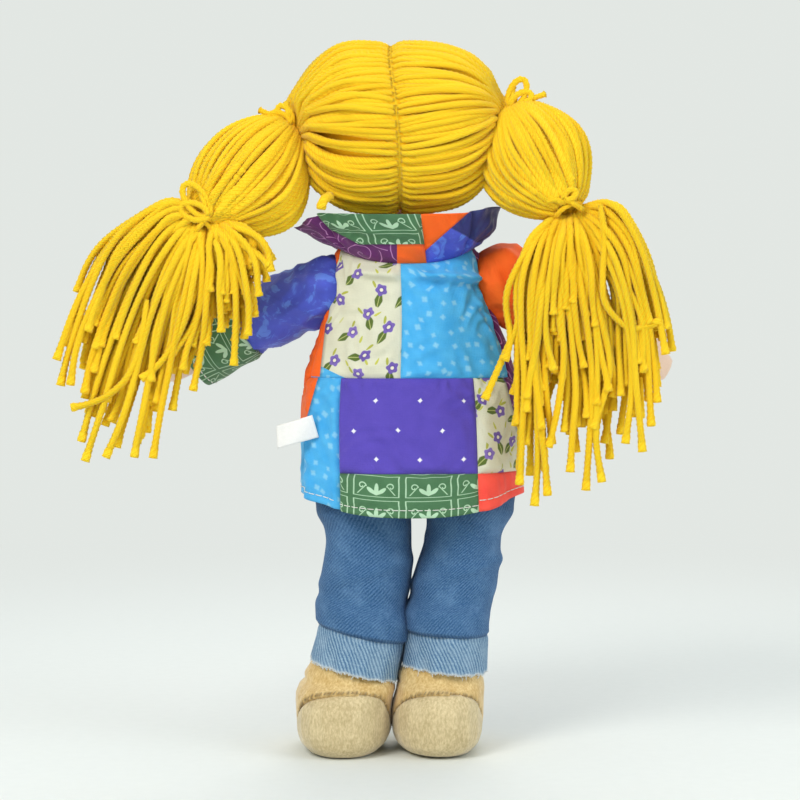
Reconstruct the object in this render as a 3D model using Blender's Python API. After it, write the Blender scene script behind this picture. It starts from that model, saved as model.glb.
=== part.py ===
"""Rag doll with yarn pigtails, a patchwork jacket and rolled jeans.

Every sewn or stuffed piece is its own closed solid. Metres, +Z up. The doll stands on its
stuffed shoes with its face towards +Y and its back towards -Y, so its own left side is -X.
Sizes are worked out first in the doll's own frame, whose X = 0 is the middle of the head.
The last step moves the whole doll so that the middle of its bounding box's base is the origin.
"""

import math

import bmesh
import bpy
from mathutils import Matrix, Vector

# Gaps and cloth
JOINT_GAP = 0.0003
SEAM_GAP = 0.0003
FIT_GAP = 0.0006
CLOTH = 0.0012
CUT_OVERRUN = 0.02

# Facets
RING_SIDES = 16
LEG_STEPS = 5
BUNDLE_SIDES = 14
BODY_SIDES = 24
SHOE_SIDES = 20
BALL_SIDES = 16
ROD_SIDES = 24
HIP_TOOL_SIDES = 36
PATCH_STEP = math.radians(9)
UPPER_PATCH_STEPS = 5
SKIRT_PATCH_STEPS = 4
LOWER_PATCH_STEPS = 3
BAND_PATCH_STEPS = 2
COLLAR_STEPS = 3

# Finishes
CLOTH_ROUGHNESS = 0.85
YARN_ROUGHNESS = 0.9
VELOUR_ROUGHNESS = 0.95
BUTTON_ROUGHNESS = 0.35

# Shoes
LEFT_SHOE_X = -0.0273
RIGHT_SHOE_X = 0.0182
LEFT_SHOE_HALF_WIDTH = 0.0228
RIGHT_SHOE_HALF_WIDTH = 0.0219
SHOE_HALF_LENGTH = 0.0350
SHOE_Y = 0.0055
SHOE_WIDEST_Z = 0.0200
SOLE_CUT = 0.0005
SOLE_SHARES = (0.88, 0.72, 0.48, 0.22, 0.0)
INSTEP_SHARES = (0.25, 0.5, 0.75, 1.0)
ANKLE_STUB_SHARES = ((1 / 3, 0.97), (1.0, 0.93))
SOLE_WIDTH_POWER = 3.6
SOLE_LENGTH_POWER = 5.0
SHOE_PLAN_POWER = 2.35
INSTEP_RISE = 0.0145
INSTEP_Z = SHOE_WIDEST_Z + INSTEP_RISE
ANKLE_HALF_SHARE = 0.775
INSTEP_BACK_Y = -0.0198
INSTEP_FRONT_Y = 0.0202
TOE_SLOPE_POWER = 1.5
HEEL_SEAM_Z = 0.0325
TOE_SEAM_Z = 0.0085
HEEL_SEAM_RUN = 0.0400
SEAM_STEPS = 14

# Legs and jeans: heights from the ankle up, and the middle line and half width of each trouser leg
ANKLE_RISE = 0.0125
ANKLE_Z = INSTEP_Z + ANKLE_RISE
LEG_LENGTH = 0.0960
HIP_Z = ANKLE_Z + LEG_LENGTH
HIP_RADIUS = 0.0210
JEANS_END_RISE = 0.0030
JEANS_END_Z = ANKLE_Z + JEANS_END_RISE
KNEE_HALF_DEPTH = 0.0200
ANKLE_HALF_DEPTH = 0.0185
LEFT_HIP_X = -0.0180
LEFT_THIGH_X = -0.0152
LEFT_THIGH_HALF_WIDTH = 0.0198
LEFT_KNEE_X = -0.0172
LEFT_KNEE_HALF_WIDTH = 0.0213
LEFT_ANKLE_X = -0.0194
LEFT_ANKLE_HALF_WIDTH = 0.0188
RIGHT_HIP_X = 0.0320
RIGHT_THIGH_X = 0.0312
RIGHT_THIGH_HALF_WIDTH = 0.0176
RIGHT_KNEE_X = 0.0262
RIGHT_KNEE_HALF_WIDTH = 0.0202
RIGHT_ANKLE_X = 0.0234
RIGHT_ANKLE_HALF_WIDTH = 0.0172
HIP_HALF_WIDTH = 0.0215
THIGH_SHARE = 0.625
THIGH_Z = ANKLE_Z + LEG_LENGTH * THIGH_SHARE
KNEE_SHARE = 0.34375
KNEE_Z = ANKLE_Z + LEG_LENGTH * KNEE_SHARE
HIP_TURNS = (25, 48, 68, 84)
HIP_WIDTH_POWER = 0.5
LEG_CLOTH_GAP = 0.0003
ROLL_THICKNESS = 0.0024
ROLL_RISE = 0.0165
ROLL_TOP_Z = ANKLE_Z + ROLL_RISE
ROLL_PUFF = 0.0010
ROLL_FLARE_WIDTH = 0.0010
ROLL_FLARE_DEPTH = 0.0026
LEFT_ROLL_DROP = 0.0075
LEFT_ROLL_BOTTOM_Z = ANKLE_Z - LEFT_ROLL_DROP
LEFT_ROLL_TILT = -0.0045
LEFT_ROLL_SHIFT = -0.0008
RIGHT_ROLL_DROP = 0.0070
RIGHT_ROLL_BOTTOM_Z = ANKLE_Z - RIGHT_ROLL_DROP
ROLL_STEPS = 4
RIGHT_ROLL_TILT = -0.0018
RIGHT_ROLL_SHIFT = 0.0008
SEAT_DROP = 0.0010
SEAT_BOTTOM_Z = HIP_Z - SEAT_DROP
SEAT_STEPS = 4
SEAT_GAP = 0.0004
SKIRT_HINGE_Y = 0.0295

# Jacket: heights, half widths, half depths and sideways shift of its rings, top to hem
BODY_LENGTH = 0.0985
JACKET_TOP_Z = HIP_Z + BODY_LENGTH
JACKET_TOP_HALF_WIDTH = 0.0336
JACKET_TOP_HALF_DEPTH = 0.0220
JACKET_TOP_SHIFT = 0.0030
JACKET_CHEST_DROP = 0.0335
JACKET_CHEST_Z = JACKET_TOP_Z - JACKET_CHEST_DROP
JACKET_CHEST_HALF_WIDTH = 0.0414
JACKET_CHEST_HALF_DEPTH = 0.0262
JACKET_CHEST_SHIFT = 0.0045
JACKET_WAIST_RISE = 0.0330
JACKET_WAIST_Z = HIP_Z + JACKET_WAIST_RISE
JACKET_WAIST_HALF_WIDTH = 0.0505
JACKET_WAIST_HALF_DEPTH = 0.0280
JACKET_WAIST_SHIFT = 0.0047
JACKET_HEM_DROP = 0.0275
JACKET_HEM_Z = HIP_Z - JACKET_HEM_DROP
JACKET_HEM_HALF_WIDTH = 0.0515
JACKET_HEM_HALF_DEPTH = 0.0350
JACKET_HEM_SHIFT = 0.0055
JACKET_PLAN_POWER = 2.5
JACKET_BACK_SEAM_DROP = 0.0075
JACKET_FRONT_SEAM_DROP = 0.0095
JACKET_HEM_RISE = 0.0095
JACKET_YOKE_FOLD_DEPTH = 0.0008
JACKET_YOKE_FOLD_BELOW = 0.0130
JACKET_YOKE_FOLD_HEIGHT = 0.0040
FOLD_DEPTH = 0.0022
FOLD_COUNT = 7
FOLD_TURN_SHARE = 0.3

# Jacket seams: heights, and places as shares of the half width from the middle
LOWER_PANEL_HEIGHT = 0.0648
BACK_WAIST_SEAM_Z = JACKET_HEM_Z + LOWER_PANEL_HEIGHT
HEM_BAND_HEIGHT = 0.0203
BAND_SEAM_Z = JACKET_HEM_Z + HEM_BAND_HEIGHT
UPPER_BACK_SEAM_SHARE = -0.09
SIDE_SEAM_SHARE = 0.95
LEFT_STRIP_SEAM_SHARE = -0.66
RIGHT_STRIP_SEAM_SHARE = 0.60
FLAP_SIDE_ANGLE = math.radians(5)

# Collar: a funnel that flares from the jacket's neck seam
COLLAR_HEIGHT = 0.0150
COLLAR_TOP_Z = JACKET_TOP_Z + COLLAR_HEIGHT
COLLAR_HALF_WIDTH = 0.0480
COLLAR_HALF_DEPTH = 0.0380
COLLAR_SHIFT = -0.0030
COLLAR_THICKNESS = 0.0015
COLLAR_TIP_RISE = 0.0020
COLLAR_FRONT_OPENING = math.radians(24)
COLLAR_GREEN_SHARE = -0.76
COLLAR_ORANGE_SHARE = 0.27
COLLAR_INDIGO_SHARE = 0.78

# Torso
TORSO_BOTTOM_RISE = 0.0090
TORSO_BOTTOM_Z = HIP_Z + TORSO_BOTTOM_RISE
TORSO_TOP_DROP = 0.0015
TORSO_TOP_Z = JACKET_TOP_Z - TORSO_TOP_DROP
TORSO_SHOULDER_HEIGHT = 0.0070
TORSO_SHOULDER_Z = TORSO_TOP_Z - TORSO_SHOULDER_HEIGHT
TORSO_TOP_SHARES = ((0.35, 0.94), (0.7, 0.82), (1.0, 0.62))
TORSO_STEPS = 9
TORSO_SLACK_RISE = 0.0220
TORSO_SLACK_FULL_Z = HIP_Z + TORSO_SLACK_RISE
TORSO_SLACK_DROP = 0.0365
TORSO_SLACK_START_Z = JACKET_TOP_Z - TORSO_SLACK_DROP
TORSO_SLACK = 0.0050

# Neck
NECK_PIVOT_RISE = 0.0025
NECK_PIVOT_Z = JACKET_TOP_Z + NECK_PIVOT_RISE
NECK_BALL_RADIUS = 0.0130
NECK_RADIUS = 0.0120
NECK_LENGTH = 0.0180
NECK_TOP_Z = NECK_PIVOT_Z + NECK_LENGTH
NECK_BALL_STEPS = 6

# Head
HEAD_HALF_WIDTH = 0.0445
HEAD_HALF_DEPTH = 0.0415
HEAD_HALF_HEIGHT = 0.0403
NECK_SOCKET_DEPTH = 0.0063
HEAD_CENTRE_Z = NECK_TOP_Z - NECK_SOCKET_DEPTH + HEAD_HALF_HEIGHT
CHEEK_SWELL_SHARE = 0.045
CHIN_TAPER_SHARE = 0.10
HEAD_AROUND_STEP = math.radians(15)
HEAD_ACROSS_STEP = math.radians(10)

# Face
EYE_RADIUS = 0.0046
EYE_THICKNESS = 0.0022
EYE_RIM = 0.0008
EYE_SPREAD = 0.0150
EYE_RISE = 0.0050
NOSE_HALF_WIDTH = 0.0034
NOSE_HALF_HEIGHT = 0.0026
NOSE_DROP = 0.0060
MOUTH_HALF_WIDTH = 0.0105
MOUTH_DROP = 0.0145
MOUTH_SMILE = 0.0042
MOUTH_THREAD_RADIUS = 0.0009
MOUTH_STEPS = 10
MOUTH_SIDES = 8
NOSE_SIDES = 14
NOSE_STEPS = 8
FACE_TURN_SHARE = 0.01

# Hair cap
HAIR_THICKNESS = 0.0037
HAIR_GAP = 0.0003
HAIRLINE_ANGLE = math.radians(45)
NAPE_ANGLE = math.radians(240)
PARTING_HALF_WIDTH = 0.0013
PARTING_GAP = 0.0004
HAIR_SIDE_ANGLE = math.radians(85)

# Pigtails: places of the upper and lower ties
HAIR_HALF_WIDTH = HEAD_HALF_WIDTH + HAIR_GAP + HAIR_THICKNESS
LEFT_TIE_CLEARANCE = 0.0028
LEFT_TIE_X = -(HAIR_HALF_WIDTH + LEFT_TIE_CLEARANCE)
LEFT_TIE_RISE = 0.0025
LEFT_TIE_Z = HEAD_CENTRE_Z + LEFT_TIE_RISE
RIGHT_TIE_CLEARANCE = 0.0035
RIGHT_TIE_X = HAIR_HALF_WIDTH + RIGHT_TIE_CLEARANCE
RIGHT_TIE_RISE = 0.0105
RIGHT_TIE_Z = HEAD_CENTRE_Z + RIGHT_TIE_RISE
TIE_Y = -0.0120
LEFT_BALL_RUN = 0.0387
LEFT_LOWER_TIE_X = LEFT_TIE_X - LEFT_BALL_RUN
LEFT_BALL_DROP = 0.0465
LEFT_LOWER_TIE_Z = LEFT_TIE_Z - LEFT_BALL_DROP
RIGHT_BALL_RUN = 0.0250
RIGHT_LOWER_TIE_X = RIGHT_TIE_X + RIGHT_BALL_RUN
RIGHT_BALL_DROP = 0.0475
RIGHT_LOWER_TIE_Z = RIGHT_TIE_Z - RIGHT_BALL_DROP
BALL_BACK_RUN = 0.0240
LOWER_TIE_Y = TIE_Y - BALL_BACK_RUN
BUNDLE_ROOT_RADIUS = 0.0040
BUNDLE_NECK_RADIUS = 0.0034
BUNDLE_NECK_LENGTH = 0.0068
BALL_HALF_WIDTH = 0.0245
BALL_HALF_DEPTH = 0.0200
BALL_SHARE_POWER = 0.62
TIE_RING_RADIUS = 0.0056
TIE_YARN_RADIUS = 0.0016
BOW_YARN_RADIUS = 0.0013
TIE_RING_PLACE = 0.0052
BOW_LOOP_LENGTH = 0.0120
BOW_LOOP_WIDTH = 0.0072
BOW_KNOT_RADIUS = 0.0028
BOW_KNOT_SIDES = 8
BOW_LEAN_SHARE = 0.6
TIE_SIDES = 12
TIE_YARN_SIDES = 6
BOW_SIDES = 10
BOW_YARN_SIDES = 5
BUNDLE_ROOT_STEPS = 4
BUNDLE_STEPS = 9

# Loose tufts: middle line and half widths, from the lower tie down
TUFT_HALF_DEPTH = 0.0105
LEFT_TUFT_RUN = 0.0360
LEFT_TUFT_TIP_X = LEFT_LOWER_TIE_X - LEFT_TUFT_RUN
LEFT_TUFT_DROP = 0.1100
LEFT_TUFT_TIP_Z = LEFT_LOWER_TIE_Z - LEFT_TUFT_DROP
LEFT_TUFT_WIDEST = 0.0370
LEFT_TUFT_TIP_HALF_WIDTH = 0.0190
RIGHT_TUFT_RUN = 0.0090
RIGHT_TUFT_TIP_X = RIGHT_LOWER_TIE_X + RIGHT_TUFT_RUN
RIGHT_TUFT_DROP = 0.1330
RIGHT_TUFT_TIP_Z = RIGHT_LOWER_TIE_Z - RIGHT_TUFT_DROP
RIGHT_TUFT_WIDEST = 0.0345
RIGHT_TUFT_TIP_HALF_WIDTH = 0.0190
TUFT_BACK_RUN = 0.0030
TUFT_TIP_Y = LOWER_TIE_Y - TUFT_BACK_RUN
TUFT_BOW_SHARE = 0.03
TUFT_TOP_SHARE = 0.17
TUFT_TOP_WIDTH_SHARE = 0.80
TUFT_WIDEST_SHARE = 0.42
TUFT_LOW_SHARE = 0.75
TUFT_LOW_WIDTH_SHARE = 0.92
TUFT_EDGE_SHARE = 0.55

# Arms: shoulder pivots, the way the arms point, and ring radii along them
LEFT_SHOULDER_X = -0.0345
RIGHT_SHOULDER_X = 0.0430
SHOULDER_Y = 0.0020
SHOULDER_DROP = 0.0185
SHOULDER_Z = JACKET_TOP_Z - SHOULDER_DROP
ARM_DROP = math.radians(24.5)
ARM_FORWARD = math.radians(12)
ARM_RAISE_LIMIT = math.radians(45)
ARM_LOWER_LIMIT = math.radians(-12)
ARM_LENGTH = 0.0990
ARM_RADIUS = 0.0138
ARM_ELBOW_PLACE = 0.0450
ARM_ELBOW_RADIUS = 0.0128
ARM_WRIST_PLACE = 0.0740
ARM_WRIST_RADIUS = 0.0095
PALM_PLACE = 0.0860
PALM_RADIUS = 0.0118
PALM_HALF_THICKNESS = 0.0080
THUMB_PLACE = 0.0840
THUMB_OFFSET = 0.0115
THUMB_HALF_LENGTH = 0.0085
THUMB_RADIUS = 0.0045
THUMB_TILT = math.radians(35)
SLEEVE_LENGTH = 0.0520
CUFF_END_PLACE = 0.0740
CUFF_FLARE = 0.0022
CUFF_THICKNESS = 0.0018
CUFF_LAP = 0.0080
MITTEN_WIDTH_SHARE = 0.45
MITTEN_THICKNESS_SHARE = 0.4
THUMB_SIDES = 12
THUMB_STEPS = 8
SHOULDER_TURNS = (84, 66, 46, 24)
ARM_STEPS = 10
SLEEVE_STEPS = 5
CUFF_STEPS = 4
BODY_TOOL_STEPS = 5

# Care tag
TAG_RISE = 0.0390
TAG_Z = JACKET_HEM_Z + TAG_RISE
TAG_LENGTH = 0.0190
TAG_HEIGHT = 0.0110
TAG_THICKNESS = 0.0006
TAG_GAP = 0.0008
TAG_SEAM_SHARE = 0.86
TAG_TILT = math.radians(-12)


def clear_scene():
    for item in list(bpy.data.objects):
        bpy.data.objects.remove(item, do_unlink=True)


def material(name, colour, roughness):
    made = bpy.data.materials.get(name)
    if made:
        return made
    made = bpy.data.materials.new(name)
    made.use_nodes = True
    shader = made.node_tree.nodes["Principled BSDF"]
    shader.inputs["Base Color"].default_value = (*colour, 1)
    shader.inputs["Roughness"].default_value = roughness
    return made


CLOTH_COLOURS = {
    "skin_cloth": (0.86, 0.66, 0.50),
    "scalp_cotton": (0.85, 0.80, 0.62),
    "nose_felt": (0.75, 0.25, 0.18),
    "mouth_thread": (0.55, 0.06, 0.06),
    "floral_cotton": (0.80, 0.80, 0.70),
    "sky_cotton": (0.10, 0.42, 0.85),
    "violet_cotton": (0.16, 0.08, 0.42),
    "green_cotton": (0.10, 0.28, 0.12),
    "coral_cotton": (0.90, 0.12, 0.08),
    "orange_satin": (0.95, 0.20, 0.03),
    "purple_cotton": (0.20, 0.03, 0.18),
    "indigo_cotton": (0.05, 0.06, 0.30),
    "tag_satin": (0.90, 0.90, 0.90),
    "denim": (0.06, 0.14, 0.28),
    "denim_reverse": (0.22, 0.36, 0.52),
}


def cloth(name):
    return material(name, CLOTH_COLOURS[name], CLOTH_ROUGHNESS)


def skin():
    return cloth("skin_cloth")


def yarn():
    return material("golden_yarn", (0.82, 0.56, 0.07), YARN_ROUGHNESS)


def velour():
    return material("velour", (0.68, 0.55, 0.32), VELOUR_ROUGHNESS)


ROOT = None


def add_object(name, points, faces, finish):
    """A mesh object from points and faces, with its normals made to face out."""
    mesh = bpy.data.meshes.new(name)
    mesh.from_pydata([tuple(point) for point in points], [], faces)
    shape = bmesh.new()
    shape.from_mesh(mesh)
    bmesh.ops.recalc_face_normals(shape, faces=shape.faces)
    shape.to_mesh(mesh)
    shape.free()
    mesh.shade_smooth()
    mesh.materials.append(finish)
    made = bpy.data.objects.new(name, mesh)
    bpy.context.scene.collection.objects.link(made)
    made.parent = ROOT
    return made


def band_faces(first, second, count):
    """Quads between two rings of points that start at the given numbers."""
    return [
        (first + i, first + (i + 1) % count, second + (i + 1) % count, second + i)
        for i in range(count)
    ]


def loft(name, rings, finish):
    """A closed solid through equal rings, its two ends filled."""
    count = len(rings[0])
    points = [point for row in rings for point in row]
    faces = []
    for i in range(len(rings) - 1):
        faces += band_faces(i * count, (i + 1) * count, count)
    faces.append(tuple(range(count))[::-1])
    faces.append(tuple(range((len(rings) - 1) * count, len(rings) * count)))
    return add_object(name, points, faces, finish)


def cup(name, outer, inner, finish):
    """A bag open at its first ring: the outer rings, the inner ones and the rim between them."""
    count = len(outer[0])
    points = [point for row in outer + inner for point in row]
    offset = len(outer) * count
    faces = []
    for start in (0, offset):
        for i in range(len(outer) - 1):
            faces += band_faces(start + i * count, start + (i + 1) * count, count)
        last = start + offset - count
        faces.append(tuple(range(last, last + count)))
    faces += band_faces(0, offset, count)
    return add_object(name, points, faces, finish)


def pipe(name, outer, inner, finish):
    """A tube wall open at both ends."""
    count = len(outer[0])
    points = [point for row in outer + inner for point in row]
    offset = len(outer) * count
    last = offset - count
    faces = []
    for start in (0, offset):
        for i in range(len(outer) - 1):
            faces += band_faces(start + i * count, start + (i + 1) * count, count)
    faces += band_faces(0, offset, count)
    faces += band_faces(last, offset + last, count)
    return add_object(name, points, faces, finish)


def slab(name, outer, inner, finish):
    """A piece of cloth between two equal grids of points."""
    columns, rows = len(outer), len(outer[0])
    points = [p for column in outer for p in column] + [p for column in inner for p in column]
    offset = columns * rows

    def quads(start):
        return [
            (start + c * rows + r, start + (c + 1) * rows + r,
             start + (c + 1) * rows + r + 1, start + c * rows + r + 1)
            for c in range(columns - 1)
            for r in range(rows - 1)
        ]

    edge = [c * rows for c in range(columns)]
    edge += [(columns - 1) * rows + r for r in range(1, rows)]
    edge += [c * rows + rows - 1 for c in range(columns - 2, -1, -1)]
    edge += [r for r in range(rows - 2, 0, -1)]
    faces = quads(0) + quads(offset)
    for i, point in enumerate(edge):
        after = edge[(i + 1) % len(edge)]
        faces.append((point, after, offset + after, offset + point))
    return add_object(name, points, faces, finish)


def ring(centre, across, up, half_across, half_up, sides=RING_SIDES, power=2.0):
    """A flat ring of points, round where the power is 2 and squarer above that."""
    points = []
    for i in range(sides):
        angle = math.tau * i / sides
        c, s = math.cos(angle), math.sin(angle)
        u = math.copysign(abs(c) ** (2 / power), c)
        v = math.copysign(abs(s) ** (2 / power), s)
        points.append(centre + across * (half_across * u) + up * (half_up * v))
    return points


def smooth_between(stations, place):
    """Values read from a smooth curve through stations, each a place and its values."""
    stations = sorted(stations)
    place = min(max(place, stations[0][0]), stations[-1][0])
    i = 0
    while i < len(stations) - 2 and place > stations[i + 1][0]:
        i += 1
    a, b = stations[i], stations[i + 1]
    before, after = stations[max(i - 1, 0)], stations[min(i + 2, len(stations) - 1)]
    span = b[0] - a[0]
    t = (place - a[0]) / span
    values = []
    for k in range(1, len(a)):
        slope_a = (b[k] - before[k]) / (b[0] - before[0]) * span
        slope_b = (after[k] - a[k]) / (after[0] - a[0]) * span
        values.append(
            a[k] * (2 * t**3 - 3 * t**2 + 1) + slope_a * (t**3 - 2 * t**2 + t)
            + b[k] * (3 * t**2 - 2 * t**3) + slope_b * (t**3 - t**2)
        )
    return values


def ease(share):
    """Nought to one with a soft start and end."""
    share = min(max(share, 0.0), 1.0)
    return share * share * (3 - 2 * share)


def combine(target, other, operation):
    """Apply a Boolean and drop the other object."""
    modifier = target.modifiers.new("cut", "BOOLEAN")
    modifier.operation = operation
    modifier.solver = "EXACT"
    modifier.object = other
    bpy.context.view_layer.update()
    shaped = target.evaluated_get(bpy.context.evaluated_depsgraph_get())
    mesh = bpy.data.meshes.new_from_object(shaped)
    target.modifiers.clear()
    old = target.data
    target.data = mesh
    bpy.data.meshes.remove(old)
    bpy.data.objects.remove(other, do_unlink=True)


def cut(target, other):
    combine(target, other, "DIFFERENCE")


def ball_tool(centre, radius, sides=BALL_SIDES):
    """A round tool, its facets just outside the radius."""
    radius = radius / math.cos(math.pi / sides)
    bands = sides // 2
    rings = []
    for i in range(bands):
        angle = -math.pi / 2 + math.pi * (i + 0.5) / bands
        middle = centre + Vector((0, 0, radius * math.sin(angle)))
        across = radius * math.cos(angle)
        rings.append(ring(middle, Vector((1, 0, 0)), Vector((0, 1, 0)), across, across, sides))
    return loft("ball_tool", rings, skin())


def rod_tool(start, end, radius, sides=ROD_SIDES):
    """A round rod from start to end, its facets just outside the radius."""
    radius = radius / math.cos(math.pi / sides)
    along = (end - start).normalized()
    across = along.orthogonal().normalized()
    up = along.cross(across)
    return loft("rod_tool", [ring(p, across, up, radius, radius, sides) for p in (start, end)], skin())


def block_tool(low, high):
    """A box between two corners."""
    xs, ys, zs = zip(low, high)
    points = [Vector((x, y, z)) for x in xs for y in ys for z in zs]
    faces = [(0, 1, 3, 2), (4, 6, 7, 5), (0, 4, 5, 1), (2, 3, 7, 6), (0, 2, 6, 4), (1, 5, 7, 3)]
    return add_object("block_tool", points, faces, skin())


JACKET_RINGS = [
    (JACKET_TOP_Z, JACKET_TOP_HALF_WIDTH, JACKET_TOP_HALF_DEPTH, JACKET_TOP_SHIFT),
    (JACKET_CHEST_Z, JACKET_CHEST_HALF_WIDTH, JACKET_CHEST_HALF_DEPTH, JACKET_CHEST_SHIFT),
    (JACKET_WAIST_Z, JACKET_WAIST_HALF_WIDTH, JACKET_WAIST_HALF_DEPTH, JACKET_WAIST_SHIFT),
    (JACKET_HEM_Z, JACKET_HEM_HALF_WIDTH, JACKET_HEM_HALF_DEPTH, JACKET_HEM_SHIFT),
]


def plan_point(angle, half_width, half_depth, power):
    c, s = math.cos(angle), math.sin(angle)
    x = half_width * math.copysign(abs(c) ** (2 / power), c)
    y = half_depth * math.copysign(abs(s) ** (2 / power), s)
    return x, y


def jacket_point(angle, z, depth):
    """A point of the jacket's cloth, depth below its outer face. Angle 0 is +X, a quarter turn +Y."""
    width, deep, shift = smooth_between(JACKET_RINGS, z)
    fall = min(max((JACKET_TOP_Z - z) / (JACKET_TOP_Z - JACKET_HEM_Z), 0.0), 1.0)
    wave = 0.5 + 0.5 * math.sin(FOLD_COUNT * angle + FOLD_TURN_SHARE * math.tau)
    out = FOLD_DEPTH * fall * fall * wave
    below = JACKET_TOP_Z - JACKET_YOKE_FOLD_BELOW - z
    out += JACKET_YOKE_FOLD_DEPTH * math.exp(-((below / JACKET_YOKE_FOLD_HEIGHT) ** 2))
    x, y = plan_point(angle, width + out - depth, deep + out - depth, JACKET_PLAN_POWER)
    return Vector((shift + x, y, z))


def torso_point(angle, z, proud):
    """A point of the stuffed torso, or of cloth that stands proud of it."""
    width, deep, shift = smooth_between(JACKET_RINGS, z)
    loose = (TORSO_SLACK_START_Z - z) / (TORSO_SLACK_START_Z - TORSO_SLACK_FULL_Z)
    inset = CLOTH + FIT_GAP + TORSO_SLACK * ease(loose) - proud
    x, y = plan_point(angle, width - inset, deep - inset, JACKET_PLAN_POWER)
    return Vector((shift + x, y, z))


def seam_z(angle):
    """Height of the seam between jacket and collar."""
    s = math.sin(angle)
    drop = JACKET_FRONT_SEAM_DROP if s > 0 else JACKET_BACK_SEAM_DROP
    return JACKET_TOP_Z - drop * s * s


def hem_z(angle):
    s = math.sin(angle)
    return JACKET_HEM_Z + JACKET_HEM_RISE * (1 - s * s)


def waist_z(angle):
    """Height of the seam across the jacket: level in front for the skirt's hinge, higher behind."""
    behind = math.sin(FLAP_SIDE_ANGLE) - math.sin(angle)
    full = math.sin(FLAP_SIDE_ANGLE) - math.sin(back_angle(SIDE_SEAM_SHARE))
    front = HIP_Z + SKIRT_HINGE_Y
    return front + (BACK_WAIST_SEAM_Z - front) * ease(behind / full)


def back_angle(share):
    """Angle on the back half for a place given as a share of the half width."""
    c = math.copysign(abs(share) ** (JACKET_PLAN_POWER / 2), share)
    return math.tau - math.acos(c)


def angle_steps(start, end, seams):
    """Angles from start to end that all patches share, with one at every seam between."""
    marks = sorted({start, end} | {seam for seam in seams if start < seam < end})
    steps = [marks[0]]
    for a, b in zip(marks, marks[1:]):
        count = max(1, round((b - a) / PATCH_STEP))
        steps += [a + (b - a) * i / count for i in range(1, count + 1)]
    return steps


def patch(name, surface, start, end, seams, low, high, thickness, rows, finish):
    """Cloth between two angles and two heights, kept half a seam gap off its neighbours."""
    edge = SEAM_GAP / (2 * JACKET_TOP_HALF_WIDTH)
    steps = angle_steps(start, end, seams)
    steps[0] += edge
    steps[-1] -= edge
    grids = []
    for depth in (0.0, thickness):
        grid = []
        for angle in steps:
            bottom, top = low(angle) + SEAM_GAP / 2, high(angle) - SEAM_GAP / 2
            heights = [bottom + (top - bottom) * r / rows for r in range(rows + 1)]
            grid.append([surface(angle, z, depth) for z in heights])
        grids.append(grid)
    return slab(name, grids[0], grids[1], finish)


def jacket_seams():
    """Angles of the jacket's upright seams, by name."""
    return {
        "left side": back_angle(-SIDE_SEAM_SHARE),
        "right side": back_angle(SIDE_SEAM_SHARE),
        "middle back": back_angle(UPPER_BACK_SEAM_SHARE),
        "left strip": back_angle(LEFT_STRIP_SEAM_SHARE),
        "right strip": back_angle(RIGHT_STRIP_SEAM_SHARE),
        "left flap": math.pi - FLAP_SIDE_ANGLE,
        "right flap": math.tau + FLAP_SIDE_ANGLE,
        "front": math.tau + math.pi / 2,
    }


def jacket_patches():
    """The body of the jacket: back panels, strips, hem band, front panels and skirt flaps."""
    seams = jacket_seams()
    marks = [angle + turn for angle in seams.values() for turn in (-math.tau, 0, math.tau)]
    left_side, right_side, middle, left_strip, right_strip, left_flap, right_flap, front = seams.values()
    early_front = front - math.tau

    def band_z(angle):
        return BAND_SEAM_Z

    upper, skirt, lower, band = UPPER_PATCH_STEPS, SKIRT_PATCH_STEPS, LOWER_PATCH_STEPS, BAND_PATCH_STEPS
    plan = (
        ("back_floral_panel", left_side, middle, waist_z, seam_z, upper, "floral_cotton"),
        ("back_sky_panel", middle, right_side, waist_z, seam_z, upper, "sky_cotton"),
        ("left_front_panel", early_front, left_side, waist_z, seam_z, upper, "orange_satin"),
        ("right_front_panel", right_side, front, waist_z, seam_z, upper, "purple_cotton"),
        ("left_sky_strip", left_flap, left_strip, hem_z, waist_z, skirt, "sky_cotton"),
        ("back_violet_panel", left_strip, right_strip, band_z, waist_z, lower, "violet_cotton"),
        ("back_floral_strip", right_strip, right_flap, band_z, waist_z, lower, "floral_cotton"),
        ("green_hem_band", left_strip, right_strip, hem_z, band_z, band, "green_cotton"),
        ("coral_corner_patch", right_strip, right_flap, hem_z, band_z, band, "coral_cotton"),
        ("left_skirt_flap", early_front, left_flap, hem_z, waist_z, skirt, "orange_satin"),
        ("right_skirt_flap", right_flap, front, hem_z, waist_z, skirt, "purple_cotton"),
    )
    made = {}
    for name, start, end, low, high, rows, finish in plan:
        made[name] = patch(name, jacket_point, start, end, marks, low, high, CLOTH, rows, cloth(finish))
    for name in ("back_floral_panel", "left_front_panel"):
        cut(made[name], ball_tool(shoulder(-1), sleeve_ball_radius() + JOINT_GAP))
    for name in ("back_sky_panel", "right_front_panel"):
        cut(made[name], ball_tool(shoulder(1), sleeve_ball_radius() + JOINT_GAP))


def collar_point(angle, z, depth):
    """A point of the collar's funnel between the neck seam and its upper edge."""
    low = seam_z(angle)
    share = (z - low) / (COLLAR_TOP_Z - low)
    width, deep, shift = smooth_between(JACKET_RINGS, low)
    half_width = width + (COLLAR_HALF_WIDTH - width) * share
    half_depth = deep + (COLLAR_HALF_DEPTH - deep) * share
    middle = shift + (COLLAR_SHIFT - shift) * share
    x, y = plan_point(angle, half_width - depth, half_depth - depth, JACKET_PLAN_POWER)
    return Vector((middle + x, y, z))


def collar_top(angle):
    return COLLAR_TOP_Z + COLLAR_TIP_RISE * math.cos(angle) ** 2


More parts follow.
